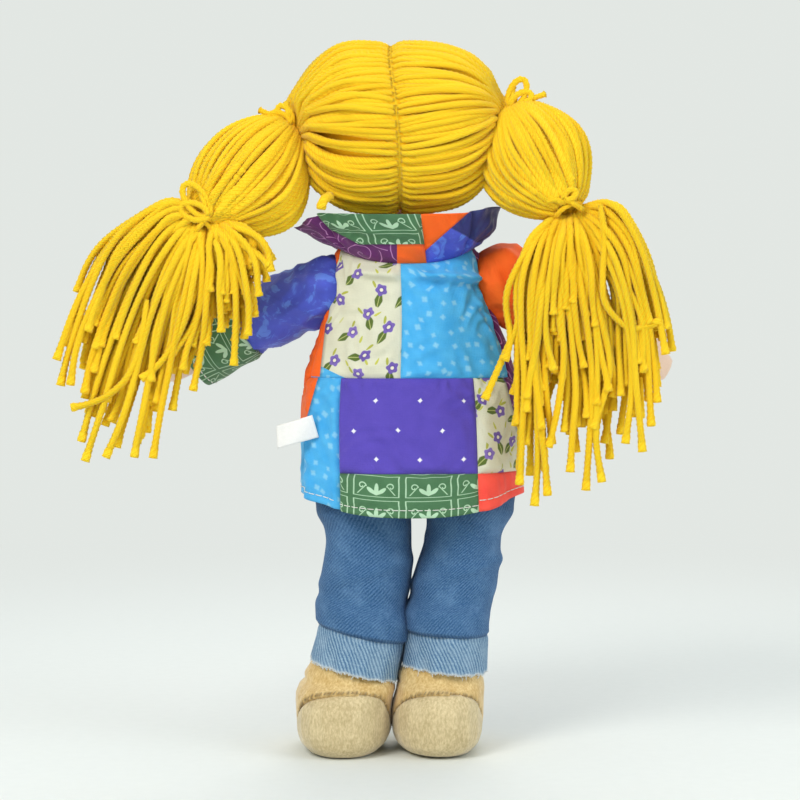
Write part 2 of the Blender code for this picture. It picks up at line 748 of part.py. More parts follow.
def collar_patches():
    """Four patches from one front edge round the back to the other."""
    green = back_angle(COLLAR_GREEN_SHARE)
    orange = back_angle(COLLAR_ORANGE_SHARE)
    indigo = back_angle(COLLAR_INDIGO_SHARE)
    first = math.pi / 2 + COLLAR_FRONT_OPENING
    last = math.tau + math.pi / 2 - COLLAR_FRONT_OPENING
    marks = list(jacket_seams().values())
    plan = (
        ("collar_purple_patch", first, green, "purple_cotton"),
        ("collar_green_patch", green, orange, "green_cotton"),
        ("collar_orange_patch", orange, indigo, "orange_satin"),
        ("collar_indigo_patch", indigo, last, "indigo_cotton"),
    )
    for name, start, end, finish in plan:
        patch(name, collar_point, start, end, marks, seam_z, collar_top, COLLAR_THICKNESS, COLLAR_STEPS,
              cloth(finish))


def body_angles():
    return [math.tau * i / BODY_SIDES for i in range(BODY_SIDES)]


def body_heights():
    """Heights of the torso's rings, shared by the seat of the jeans."""
    span = TORSO_SHOULDER_Z - SEAT_BOTTOM_Z
    return [SEAT_BOTTOM_Z + span * i / TORSO_STEPS for i in range(TORSO_STEPS + 1)]


def torso():
    """The stuffed body, with sockets for the neck, the arms and the hips."""
    heights = [z for z in body_heights() if z > TORSO_BOTTOM_Z]
    rings = [[torso_point(a, z, 0.0) for a in body_angles()] for z in heights]
    shoulder_ring = rings[-1]
    for rise_share, width_share in TORSO_TOP_SHARES:
        z = TORSO_SHOULDER_Z + (TORSO_TOP_Z - TORSO_SHOULDER_Z) * rise_share
        middle = JACKET_TOP_SHIFT * (1 - rise_share)
        rings.append([Vector((middle + p.x * width_share, p.y * width_share, z)) for p in shoulder_ring])
    made = loft("torso", rings, skin())
    cut(made, ball_tool(Vector((0, 0, NECK_PIVOT_Z)), NECK_BALL_RADIUS + JOINT_GAP))
    for side in (-1, 1):
        cut(made, ball_tool(shoulder(side), sleeve_ball_radius() + JOINT_GAP))
    cut(made, hip_socket_tool())
    cut(made, thigh_room_tool())


def hip_socket_tool():
    reach = JACKET_HEM_HALF_WIDTH + CUT_OVERRUN
    start = Vector((JACKET_HEM_SHIFT - reach, 0, HIP_Z))
    end = Vector((JACKET_HEM_SHIFT + reach, 0, HIP_Z))
    return rod_tool(start, end, HIP_RADIUS + JOINT_GAP, HIP_TOOL_SIDES)


def thigh_room_tool():
    """The space in front of the hips that a raised thigh fills."""
    reach = JACKET_HEM_HALF_WIDTH + CUT_OVERRUN
    low = (JACKET_HEM_SHIFT - reach, 0, HIP_Z - HIP_RADIUS)
    high = (JACKET_HEM_SHIFT + reach, JACKET_HEM_HALF_DEPTH + CUT_OVERRUN, HIP_Z + HIP_RADIUS + JOINT_GAP)
    return block_tool(low, high)


def jeans_seat():
    """The seat of the jeans: a cloth ring round the hips, cut away in front for the thighs."""
    heights = body_heights()[:SEAT_STEPS]
    outer = [[torso_point(a, z, SEAT_GAP + CLOTH) for a in body_angles()] for z in heights]
    inner = [[torso_point(a, z, SEAT_GAP) for a in body_angles()] for z in heights]
    made = pipe("jeans_seat", outer, inner, cloth("denim"))
    cut(made, hip_socket_tool())
    cut(made, thigh_room_tool())


def neck():
    """A stuffed neck with a ball end in the torso and a stub inside the head."""
    x_axis, y_axis = Vector((1, 0, 0)), Vector((0, 1, 0))
    rings = []
    blend_angle = math.acos(NECK_RADIUS / NECK_BALL_RADIUS)
    low = -math.pi / 2
    for i in range(1, NECK_BALL_STEPS + 1):
        angle = low + (blend_angle - low) * i / NECK_BALL_STEPS
        centre = Vector((0, 0, NECK_PIVOT_Z + NECK_BALL_RADIUS * math.sin(angle)))
        radius = NECK_BALL_RADIUS * math.cos(angle)
        rings.append(ring(centre, x_axis, y_axis, radius, radius))
    rings.append(ring(Vector((0, 0, NECK_TOP_Z)), x_axis, y_axis, NECK_RADIUS, NECK_RADIUS))
    loft("neck", rings, skin())


def head_point(around, across, side, proud):
    """A point of the head. Around turns about X from the face over the top, across leans to the ear."""
    swell = math.cos(across) * math.cos(around)
    low = max(0.0, -math.sin(around)) * math.cos(across)
    width = HEAD_HALF_WIDTH * (1 + CHEEK_SWELL_SHARE * low * (1 - low) * 4) + proud
    depth = HEAD_HALF_DEPTH * (1 - CHIN_TAPER_SHARE * low * low * max(0.0, swell)) + proud
    return Vector((
        side * width * math.sin(across),
        depth * math.cos(across) * math.cos(around),
        HEAD_CENTRE_Z + (HEAD_HALF_HEIGHT + proud) * math.cos(across) * math.sin(around),
    ))


def head_form(name, proud):
    """The head as rings about the X axis, from one ear to the other."""
    turns = round(math.tau / HEAD_AROUND_STEP)
    steps = round(math.pi / 2 / HEAD_ACROSS_STEP)
    rings = []
    for k in range(-steps + 1, steps):
        across = abs(k) * HEAD_ACROSS_STEP
        side = -1 if k < 0 else 1
        rings.append([head_point(HEAD_AROUND_STEP * i, across, side, proud) for i in range(turns)])
    return loft(name, rings, skin())


def head():
    """The stuffed head, with a round socket for the neck."""
    made = head_form("head", 0.0)
    start = Vector((0, 0, HEAD_CENTRE_Z - HEAD_HALF_HEIGHT - CUT_OVERRUN))
    cut(made, rod_tool(start, Vector((0, 0, NECK_TOP_Z + JOINT_GAP)), NECK_RADIUS + JOINT_GAP))


def face_frame(x, rise):
    """A point of the face and the direction that it looks in."""
    side = -1 if x < 0 else 1
    across, around = abs(x) / HEAD_HALF_WIDTH, rise / HEAD_HALF_HEIGHT
    for _ in range(8):
        place = head_point(around, across, side, 0.0)
        across += (abs(x) - abs(place.x)) / HEAD_HALF_WIDTH
        around += (HEAD_CENTRE_Z + rise - place.z) / HEAD_HALF_HEIGHT
    turn = FACE_TURN_SHARE
    upward = head_point(around + turn, across, side, 0.0) - head_point(around - turn, across, side, 0.0)
    outward = head_point(around, across + turn, side, 0.0) - head_point(around, across - turn, side, 0.0)
    out = upward.cross(outward).normalized()
    return place, out if out.y > 0 else -out


def eye(name, side):
    """A flat round button with a raised rim."""
    place, out = face_frame(side * EYE_SPREAD, EYE_RISE)
    across = out.cross(Vector((0, 0, 1))).normalized()
    up = across.cross(out)
    profile = (
        (0.0, EYE_RADIUS - EYE_RIM), (EYE_RIM, EYE_RADIUS), (EYE_THICKNESS - EYE_RIM, EYE_RADIUS),
        (EYE_THICKNESS, EYE_RADIUS - EYE_RIM), (EYE_THICKNESS - EYE_RIM / 2, EYE_RADIUS - 2 * EYE_RIM),
    )
    rings = [ring(place + out * (JOINT_GAP + lift), across, up, r, r) for lift, r in profile]
    loft(name, rings, material("button", (0.03, 0.02, 0.02), BUTTON_ROUGHNESS))


def nose():
    """A small padded nose, cut to the face that it is sewn to."""
    place, out = face_frame(0.0, -NOSE_DROP)
    across = Vector((1, 0, 0))
    up = across.cross(out).normalized()
    rings = []
    for i in range(1, NOSE_STEPS):
        angle = -math.pi / 2 + math.pi * i / NOSE_STEPS
        width = NOSE_HALF_WIDTH * math.cos(angle)
        height = NOSE_HALF_HEIGHT * math.cos(angle)
        middle = place + out * (NOSE_HALF_HEIGHT * math.sin(angle))
        rings.append(ring(middle, across, up, width, height, NOSE_SIDES))
    made = loft("nose", rings, cloth("nose_felt"))
    cut(made, head_form("head_tool", JOINT_GAP))


def mouth():
    """A thick stitched smile that lies on the face."""
    rings = []
    for i in range(MOUTH_STEPS + 1):
        share = 2 * i / MOUTH_STEPS - 1
        rise = -MOUTH_DROP - MOUTH_SMILE * (1 - share * share)
        place, out = face_frame(MOUTH_HALF_WIDTH * share, rise)
        slope = 2 * MOUTH_SMILE * share / MOUTH_HALF_WIDTH
        along = Vector((1, 0, slope))
        along = (along - out * along.dot(out)).normalized()
        across = along.cross(out)
        centre = place + out * (JOINT_GAP + MOUTH_THREAD_RADIUS)
        rings.append(ring(centre, across, out, MOUTH_THREAD_RADIUS, MOUTH_THREAD_RADIUS, MOUTH_SIDES))
    loft("mouth", rings, cloth("mouth_thread"))


def hair_cap(name, side):
    """Half of the yarn cap, from the parting to the tie at the side of the head."""
    inner = HAIR_GAP
    outer = HAIR_GAP + HAIR_THICKNESS
    first = math.asin((PARTING_HALF_WIDTH + PARTING_GAP) / HEAD_HALF_WIDTH)
    steps = math.ceil(HAIR_SIDE_ANGLE / HEAD_ACROSS_STEP)
    leans = [first] + [HEAD_ACROSS_STEP * k for k in range(1, steps)] + [HAIR_SIDE_ANGLE]
    count = round((NAPE_ANGLE - HAIRLINE_ANGLE) / HEAD_AROUND_STEP)
    turns = [HAIRLINE_ANGLE + HEAD_AROUND_STEP * i for i in range(count + 1)]
    grids = [[[head_point(t, a, side, proud) for a in leans] for t in turns] for proud in (outer, inner)]
    made = slab(name, grids[0], grids[1], yarn())
    cut(made, ball_tool(upper_tie(side), BUNDLE_ROOT_RADIUS + JOINT_GAP))


def parting_seam():
    """The stitched strip of scalp between the two halves of the cap."""
    count = round((NAPE_ANGLE - HAIRLINE_ANGLE) / HEAD_AROUND_STEP)
    turns = [HAIRLINE_ANGLE + HEAD_AROUND_STEP * i for i in range(count + 1)]
    lean = math.asin(PARTING_HALF_WIDTH / HEAD_HALF_WIDTH)
    sides = ((-1, lean), (1, lean))
    grids = [
        [[head_point(t, a, side, proud) for side, a in sides] for t in turns]
        for proud in (HAIR_GAP + HAIR_THICKNESS / 2, HAIR_GAP)
    ]
    slab("parting_seam", grids[0], grids[1], cloth("scalp_cotton"))


def upper_tie(side):
    if side < 0:
        return Vector((LEFT_TIE_X, TIE_Y, LEFT_TIE_Z))
    return Vector((RIGHT_TIE_X, TIE_Y, RIGHT_TIE_Z))


def lower_tie(side):
    if side < 0:
        return Vector((LEFT_LOWER_TIE_X, LOWER_TIE_Y, LEFT_LOWER_TIE_Z))
    return Vector((RIGHT_LOWER_TIE_X, LOWER_TIE_Y, RIGHT_LOWER_TIE_Z))


def tuft_tip(side):
    if side < 0:
        return Vector((LEFT_TUFT_TIP_X, TUFT_TIP_Y, LEFT_TUFT_TIP_Z))
    return Vector((RIGHT_TUFT_TIP_X, TUFT_TIP_Y, RIGHT_TUFT_TIP_Z))


def bundle_axes(along):
    """Directions across a bundle: one in the plane of the hair's fan, one in its depth."""
    across = Vector((0, 1, 0)).cross(along).normalized()
    return across, along.cross(across).normalized()


def bundle_root(start, along):
    """The round root of a bundle of yarn, inside its tie."""
    across, deep = bundle_axes(along)
    rings = []
    for i in range(1, BUNDLE_ROOT_STEPS + 1):
        angle = -math.pi / 2 + math.pi / 2 * i / BUNDLE_ROOT_STEPS
        radius = BUNDLE_ROOT_RADIUS * math.cos(angle)
        rings.append(ring(start + along * (BUNDLE_ROOT_RADIUS * math.sin(angle)), across, deep,
                          radius, radius, BUNDLE_SIDES))
    for place in (BUNDLE_NECK_LENGTH / 2, BUNDLE_NECK_LENGTH):
        rings.append(ring(start + along * place, across, deep, BUNDLE_NECK_RADIUS, BUNDLE_NECK_RADIUS,
                          BUNDLE_SIDES))
    return rings


def pigtail_ball(name, side):
    """A fat bundle of yarn between its two ties."""
    start, end = upper_tie(side), lower_tie(side)
    along = (end - start).normalized()
    across, deep = bundle_axes(along)
    rings = bundle_root(start, along)
    length = (end - start).length - BUNDLE_NECK_LENGTH
    for i in range(1, BUNDLE_STEPS + 1):
        share = (i - 0.5) / BUNDLE_STEPS
        swell = math.sin(math.pi * share) ** BALL_SHARE_POWER
        place = start + along * (BUNDLE_NECK_LENGTH + length * share)
        wide, thick = BALL_HALF_WIDTH * swell, BALL_HALF_DEPTH * swell
        rings.append(ring(place, across, deep, wide, thick, BUNDLE_SIDES))
    made = loft(name, rings, yarn())
    cut(made, ball_tool(end, BUNDLE_ROOT_RADIUS + JOINT_GAP))
    cut(made, head_form("head_tool", HAIR_GAP + HAIR_THICKNESS + FIT_GAP))


def tuft(name, side):
    """The loose tail of yarn that fans out below the lower tie."""
    start = lower_tie(side)
    tip = tuft_tip(side)
    widest = LEFT_TUFT_WIDEST if side < 0 else RIGHT_TUFT_WIDEST
    tip_half = LEFT_TUFT_TIP_HALF_WIDTH if side < 0 else RIGHT_TUFT_TIP_HALF_WIDTH
    along = (tip - start).normalized()
    across, deep = bundle_axes(along)
    rings = bundle_root(start, along)
    length = (tip - start).length - BUNDLE_NECK_LENGTH
    stations = [
        (0.0, BUNDLE_NECK_RADIUS, BUNDLE_NECK_RADIUS),
        (TUFT_TOP_SHARE, widest * TUFT_TOP_WIDTH_SHARE, TUFT_HALF_DEPTH * TUFT_TOP_WIDTH_SHARE),
        (TUFT_WIDEST_SHARE, widest, TUFT_HALF_DEPTH),
        (TUFT_LOW_SHARE, widest * TUFT_LOW_WIDTH_SHARE, TUFT_HALF_DEPTH * TUFT_LOW_WIDTH_SHARE),
        (1.0, tip_half, TUFT_HALF_DEPTH * TUFT_EDGE_SHARE),
    ]
    for i in range(1, BUNDLE_STEPS + 1):
        share = i / BUNDLE_STEPS
        half_width, half_depth = smooth_between(stations, share)
        bow = across * (side * length * TUFT_BOW_SHARE * math.sin(math.pi * share))
        place = start + along * (BUNDLE_NECK_LENGTH + length * share) + bow
        rings.append(ring(place, across, deep, half_width, half_depth, BUNDLE_SIDES))
    loft(name, rings, yarn())


def yarn_loop(name, centre, across, up, half_across, half_up, radius, sides, thick_sides):
    """A closed loop of yarn, round or drawn out."""
    out = across.cross(up).normalized()
    middle = ring(centre, across, up, half_across, half_up, sides)
    points, faces = [], []
    for i in range(sides):
        away = (middle[i] - centre).normalized()
        for k in range(thick_sides):
            angle = math.tau * k / thick_sides
            points.append(middle[i] + away * (radius * math.cos(angle)) + out * (radius * math.sin(angle)))
    for i in range(sides):
        faces += band_faces(i * thick_sides, (i + 1) % sides * thick_sides, thick_sides)
    return add_object(name, points, faces, yarn())


def tie(name, pivot, along):
    """A yarn ring round the neck of a bundle, with a knot and two bow loops on the outside."""
    across, deep = bundle_axes(along)
    centre = pivot + along * TIE_RING_PLACE
    made = yarn_loop(name, centre, across, deep, TIE_RING_RADIUS, TIE_RING_RADIUS, TIE_YARN_RADIUS,
                     TIE_SIDES, TIE_YARN_SIDES)
    back = deep if deep.y < 0 else -deep
    knot = centre + back * (TIE_RING_RADIUS + TIE_YARN_RADIUS)
    combine(made, ball_tool(knot, BOW_KNOT_RADIUS, BOW_KNOT_SIDES), "UNION")
    for turn in (-1, 1):
        lean = (across * turn + back * BOW_LEAN_SHARE).normalized()
        flat = lean.cross(along).normalized().cross(lean)
        middle = knot + lean * (BOW_LOOP_LENGTH / 2)
        loop = yarn_loop("loop_tool", middle, lean, flat, BOW_LOOP_LENGTH / 2, BOW_LOOP_WIDTH / 2,
                         BOW_YARN_RADIUS, BOW_SIDES, BOW_YARN_SIDES)
        combine(made, loop, "UNION")


def shoulder(side):
    return Vector((LEFT_SHOULDER_X if side < 0 else RIGHT_SHOULDER_X, SHOULDER_Y, SHOULDER_Z))


def sleeve_ball_radius():
    return ARM_RADIUS + LEG_CLOTH_GAP + CLOTH


def arm_axes(side):
    along = Vector((side * math.cos(ARM_DROP) * math.cos(ARM_FORWARD), math.sin(ARM_FORWARD),
                    -math.sin(ARM_DROP) * math.cos(ARM_FORWARD))).normalized()
    deep = (Vector((0, 1, 0)) - along * along.y).normalized()
    return along, along.cross(deep).normalized(), deep


ARM_RINGS = [
    (0.0, ARM_RADIUS, ARM_RADIUS),
    (ARM_ELBOW_PLACE, ARM_ELBOW_RADIUS, ARM_ELBOW_RADIUS),
    (ARM_WRIST_PLACE, ARM_WRIST_RADIUS, ARM_WRIST_RADIUS),
    (PALM_PLACE, PALM_RADIUS, PALM_HALF_THICKNESS),
    (ARM_LENGTH, PALM_RADIUS * MITTEN_WIDTH_SHARE, PALM_HALF_THICKNESS * MITTEN_THICKNESS_SHARE),
]


def arm_ring(side, place, proud):
    """A ring of the arm's skin, or of cloth proud of it. Behind the pivot it follows a ball."""
    along, up, deep = arm_axes(side)
    if place <= 0:
        radius = ARM_RADIUS + proud
        place = place * radius / ARM_RADIUS
        height = math.sqrt(max(radius * radius - place * place, 0.0))
        thick = height
    else:
        height, thick = smooth_between(ARM_RINGS, place)
        height, thick = height + proud, thick + proud
    return ring(shoulder(side) + along * place, up, deep, height, thick)


def arm_places(end, steps):
    """Places along an arm: closer together round the ball at its root, then even."""
    root = [-ARM_RADIUS * math.sin(math.radians(turn)) for turn in SHOULDER_TURNS]
    return root + [end * i / steps for i in range(steps + 1)]


def body_tool(side, turn):
    """The jacket's body as the arm meets it when turned, without the ball that the arm turns in."""
    span = JACKET_TOP_Z - JACKET_WAIST_Z
    heights = [JACKET_WAIST_Z + span * i / BODY_TOOL_STEPS for i in range(BODY_TOOL_STEPS + 1)]
    rings = [[jacket_point(a, z, -FIT_GAP) for a in body_angles()] for z in heights]
    made = loft("body_tool", rings, skin())
    cut(made, ball_tool(shoulder(side), sleeve_ball_radius() + JOINT_GAP / 2))
    pivot = shoulder(side)
    swing = Matrix.Rotation(side * turn, 4, Vector((0, 1, 0)))
    made.data.transform(Matrix.Translation(pivot) @ swing @ Matrix.Translation(-pivot))
    return made


def trim_to_body(made, side):
    """Shape a limb's root so that it meets the body at both ends of its swing."""
    for turn in (ARM_LOWER_LIMIT, 0.0, ARM_RAISE_LIMIT):
        cut(made, body_tool(side, turn))


def arm(name, side):
    """A stuffed arm that tapers to the wrist and ends in a mitten hand with a thumb."""
    places = arm_places(ARM_LENGTH, ARM_STEPS)
    made = loft(name, [arm_ring(side, place, 0.0) for place in places], skin())
    along, up, deep = arm_axes(side)
    upward = up if up.z > 0 else -up
    lean = (along * math.cos(THUMB_TILT) + upward * math.sin(THUMB_TILT)).normalized()
    middle = shoulder(side) + along * THUMB_PLACE + upward * THUMB_OFFSET
    flat = lean.cross(deep).normalized()
    rings = []
    for i in range(1, THUMB_STEPS):
        angle = -math.pi / 2 + math.pi * i / THUMB_STEPS
        radius = THUMB_RADIUS * math.cos(angle)
        centre = middle + lean * (THUMB_HALF_LENGTH * math.sin(angle))
        rings.append(ring(centre, flat, deep, radius, radius, THUMB_SIDES))
    combine(made, loft("thumb_tool", rings, skin()), "UNION")
    trim_to_body(made, side)


def sleeve(name, side, finish):
    """A cloth sleeve over the arm, closed round the ball of the shoulder and open at the cuff."""
    places = arm_places(SLEEVE_LENGTH, SLEEVE_STEPS)[::-1]
    inner = [arm_ring(side, place, LEG_CLOTH_GAP) for place in places]
    outer = [arm_ring(side, place, LEG_CLOTH_GAP + CLOTH) for place in places]
    made = cup(name, outer, inner, finish)
    trim_to_body(made, side)


def sleeve_cuff(name, side, finish):
    """A flared band round the end of the sleeve."""
    start = SLEEVE_LENGTH - CUFF_LAP
    places = [start + (CUFF_END_PLACE - start) * i / CUFF_STEPS for i in range(CUFF_STEPS + 1)]
    base = LEG_CLOTH_GAP + CLOTH + JOINT_GAP
    grips = []
    for place in places:
        thin = ARM_ELBOW_RADIUS - min(smooth_between(ARM_RINGS, place)[0], ARM_ELBOW_RADIUS)
        flare = CUFF_FLARE * (place - start) / (CUFF_END_PLACE - start)
        grips.append(base + thin + flare)
    inner = [arm_ring(side, place, grip) for place, grip in zip(places, grips)]
    outer = [arm_ring(side, place, grip + CUFF_THICKNESS) for place, grip in zip(places, grips)]
    pipe(name, outer, inner, finish)


def leg_stations(side):
    """Middle line and half widths of the outside of a trouser leg, hip to ankle."""
    if side < 0:
        rows = (LEFT_HIP_X, HIP_HALF_WIDTH, LEFT_THIGH_X, LEFT_THIGH_HALF_WIDTH,
                LEFT_KNEE_X, LEFT_KNEE_HALF_WIDTH, LEFT_ANKLE_X, LEFT_ANKLE_HALF_WIDTH)
    else:
        rows = (RIGHT_HIP_X, HIP_HALF_WIDTH, RIGHT_THIGH_X, RIGHT_THIGH_HALF_WIDTH,
                RIGHT_KNEE_X, RIGHT_KNEE_HALF_WIDTH, RIGHT_ANKLE_X, RIGHT_ANKLE_HALF_WIDTH)
    return [
        (HIP_Z, rows[0], rows[1], HIP_RADIUS),
        (THIGH_Z, rows[2], rows[3], KNEE_HALF_DEPTH),
        (KNEE_Z, rows[4], rows[5], KNEE_HALF_DEPTH),
        (ROLL_TOP_Z + ROLL_PUFF, rows[6], rows[7], ANKLE_HALF_DEPTH),
        (ANKLE_Z, rows[6], rows[7], ANKLE_HALF_DEPTH),
    ]


def leg_rings(side, bottoms, inset):
    """Rings up a leg to the hip, then over the round top about the hip axis."""
    x_axis, y_axis = Vector((1, 0, 0)), Vector((0, 1, 0))
    stations = leg_stations(side)
    rings = []
    foot = ROLL_TOP_Z + ROLL_PUFF
    shared = [JEANS_END_Z] + [foot + (HIP_Z - foot) * i / LEG_STEPS for i in range(LEG_STEPS + 1)]
    for z in bottoms + shared:
        middle, width, depth = smooth_between(stations, z)
        rings.append(ring(Vector((middle, 0, z)), x_axis, y_axis, width - inset, depth - inset))
    hip_x = stations[0][1]
    for turn in HIP_TURNS:
        angle = math.radians(turn)
        centre = Vector((hip_x, 0, HIP_Z + (HIP_RADIUS - inset) * math.sin(angle)))
        width = (HIP_HALF_WIDTH - inset) * math.cos(angle) ** HIP_WIDTH_POWER
        rings.append(ring(centre, x_axis, y_axis, width, (HIP_RADIUS - inset) * math.cos(angle)))
    return rings


def leg(name, side):
    """A stuffed leg from the ankle to the hip."""
    inset = CLOTH + LEG_CLOTH_GAP
    loft(name, leg_rings(side, [ANKLE_Z + JOINT_GAP], inset), skin())


def jeans_leg(name, side):
    """A trouser leg over the stuffed leg, closed over the hip and open at the ankle."""
    cup(name, leg_rings(side, [], 0.0), leg_rings(side, [], CLOTH), cloth("denim"))


def rolled_cuff(name, side):
    """The end of the trouser leg, turned up: a thick band that widens to its slanted lower edge."""
    if side < 0:
        bottom, tilt, shift = LEFT_ROLL_BOTTOM_Z, LEFT_ROLL_TILT, LEFT_ROLL_SHIFT
    else:
        bottom, tilt, shift = RIGHT_ROLL_BOTTOM_Z, RIGHT_ROLL_TILT, RIGHT_ROLL_SHIFT
    x_axis, y_axis = Vector((1, 0, 0)), Vector((0, 1, 0))
    middle, width, depth = smooth_between(leg_stations(side), ROLL_TOP_Z)
    outer, inner = [], []
    for i in range(ROLL_STEPS + 1):
        share = i / ROLL_STEPS
        z = bottom + (ROLL_TOP_Z - bottom) * share
        fall = 1 - share
        centre = Vector((middle + shift * fall, 0, z))
        for rings, grip in ((outer, JOINT_GAP + ROLL_THICKNESS), (inner, JOINT_GAP)):
            wide = width + grip + ROLL_FLARE_WIDTH * fall
            flat = ring(centre, x_axis, y_axis, wide, depth + grip + ROLL_FLARE_DEPTH * fall)
            rings.append([p + Vector((0, 0, tilt * fall * (p.x - centre.x) / width)) for p in flat])
    pipe(name, outer, inner, cloth("denim_reverse"))


def shoe_form(name, side):
    """A stuffed round shoe, its underside cut flat to stand on."""
    x = LEFT_SHOE_X if side < 0 else RIGHT_SHOE_X
    half_width = LEFT_SHOE_HALF_WIDTH if side < 0 else RIGHT_SHOE_HALF_WIDTH
    ankle_x = leg_stations(side)[4][1]
    x_axis, y_axis = Vector((1, 0, 0)), Vector((0, 1, 0))
    rings = []
    drop = SHOE_WIDEST_Z + SOLE_CUT
    for share in (1 - SOLE_CUT / drop, *SOLE_SHARES):
        z = SHOE_WIDEST_Z - drop * share
        wide = half_width * (1 - share**SOLE_WIDTH_POWER) ** (1 / SOLE_WIDTH_POWER)
        long = SHOE_HALF_LENGTH * (1 - share**SOLE_LENGTH_POWER) ** (1 / SOLE_LENGTH_POWER)
        if share == 1 - SOLE_CUT / drop:
            z = 0.0
        rings.append(ring(Vector((x, SHOE_Y, z)), x_axis, y_axis, wide, long, SHOE_SIDES, SHOE_PLAN_POWER))
    for share in INSTEP_SHARES:
        z = SHOE_WIDEST_Z + (INSTEP_Z - SHOE_WIDEST_Z) * share
        fade = share * share
        wide = half_width * (1 - (1 - ANKLE_HALF_SHARE) * fade)
        toe = SHOE_Y + SHOE_HALF_LENGTH
        toe += (INSTEP_FRONT_Y - toe) * share**TOE_SLOPE_POWER
        heel = SHOE_Y - SHOE_HALF_LENGTH
        heel += (INSTEP_BACK_Y - heel) * fade
        middle = x + (ankle_x - x) * fade
        rings.append(ring(Vector((middle, (toe + heel) / 2, z)), x_axis, y_axis, wide, (toe - heel) / 2,
                          SHOE_SIDES, SHOE_PLAN_POWER))
    stations = leg_stations(side)
    depth = stations[4][3] - JOINT_GAP
    width = stations[4][2] - JOINT_GAP
    for rise_share, share in ANKLE_STUB_SHARES:
        z = INSTEP_Z + ANKLE_RISE * rise_share
        centre = Vector((ankle_x, 0, z))
        rings.append(ring(centre, x_axis, y_axis, width * share, depth * share, SHOE_SIDES))
    return loft(name, rings, velour())


def sole_seam_z(y):
    """Height of the seam round the sole: high behind the heel, low along the sides and toe."""
    heel = SHOE_Y - SHOE_HALF_LENGTH
    share = ease((y - heel) / HEEL_SEAM_RUN)
    return HEEL_SEAM_Z + (TOE_SEAM_Z - HEEL_SEAM_Z) * share


def seam_tool(side, above, offset):
    """A block above or below the sole seam."""
    x = LEFT_SHOE_X if side < 0 else RIGHT_SHOE_X
    reach = LEFT_SHOE_HALF_WIDTH + CUT_OVERRUN
    far = SHOE_HALF_LENGTH + CUT_OVERRUN
    places = [SHOE_Y - far + 2 * far * i / SEAM_STEPS for i in range(SEAM_STEPS + 1)]
    end_z = ANKLE_Z + CUT_OVERRUN if above else -CUT_OVERRUN
    outline = [(y, sole_seam_z(y) + offset) for y in places] + [(places[-1], end_z), (places[0], end_z)]
    rings = [[Vector((x + shift, y, z)) for y, z in outline] for shift in (-reach, reach)]
    return loft("seam_tool", rings, velour())


def shoe(side, upper_name, sole_name):
    """A shoe's upper and its sole panel, which curls up behind the heel."""
    upper = shoe_form(upper_name, side)
    cut(upper, seam_tool(side, False, SEAM_GAP / 2))
    sole = shoe_form(sole_name, side)
    cut(sole, seam_tool(side, True, -SEAM_GAP / 2))


def tag_hinge():
    """The stitched end of the care tag, just off the left side seam."""
    clear = TAG_GAP + TAG_THICKNESS
    return jacket_point(back_angle(-TAG_SEAM_SHARE), TAG_Z, -TAG_GAP) - Vector((0, clear, 0))


def care_tag():
    """A folded cloth tag caught in the left side seam."""
    half = TAG_HEIGHT / 2
    lean = Matrix.Rotation(TAG_TILT, 3, "Y")
    points = []
    for y in (TAG_THICKNESS, 0.0):
        for x, z in ((0.0, -half), (-TAG_LENGTH, -half), (-TAG_LENGTH, half), (0.0, half)):
            points.append(tag_hinge() + lean @ Vector((x, y, z)))
    faces = [(0, 1, 2, 3), (7, 6, 5, 4)] + [(i, (i + 1) % 4, 4 + (i + 1) % 4, 4 + i) for i in range(4)]
    add_object("care_tag", points, faces, cloth("tag_satin"))


def joint_groups():
    """The pieces that move together, with a point on the axis that they turn about."""
    groups = [
        (Vector((0, 0, NECK_PIVOT_Z)), ("neck",)),
        (Vector((0, 0, NECK_TOP_Z)), ("head", "left_eye", "right_eye", "nose", "mouth", "parting_seam",
                                      "left_hair_cap", "right_hair_cap")),
        (tag_hinge(), ("care_tag",)),
    ]
    for side, word, hip_x in ((-1, "left", LEFT_HIP_X), (1, "right", RIGHT_HIP_X)):
        groups += [
            (upper_tie(side), (f"{word}_pigtail_ball", f"{word}_upper_tie")),
            (lower_tie(side), (f"{word}_hair_tuft", f"{word}_lower_tie")),
            (shoulder(side), (f"{word}_arm", f"{word}_sleeve", f"{word}_sleeve_cuff")),
            (Vector((hip_x, 0, HIP_Z)), (f"{word}_leg", f"{word}_jeans_leg", f"{word}_jeans_cuff",
                                         f"{word}_shoe_upper", f"{word}_shoe_sole")),
            (Vector((hip_x, SKIRT_HINGE_Y, HIP_Z + SKIRT_HINGE_Y)), (f"{word}_skirt_flap",)),
        ]
    return groups


def hang_on_joints():
    """Put each moving piece's origin on its joint's axis."""
    for pivot, names in joint_groups():
        for name in names:
            piece = bpy.data.objects[name]
            piece.data.transform(Matrix.Translation(-pivot))
            piece.location = pivot


def settle_on_origin():
    """Move the doll so that the middle of its bounding box's base lies at the origin."""
    pieces = [item for item in bpy.data.objects if item.type == "MESH"]
    corners = [piece.location + v.co for piece in pieces for v in piece.data.vertices]
    low = [min(c[k] for c in corners) for k in range(3)]
    high = [max(c[k] for c in corners) for k in range(3)]
    ROOT.location = (-(low[0] + high[0]) / 2, -(low[1] + high[1]) / 2, -low[2])


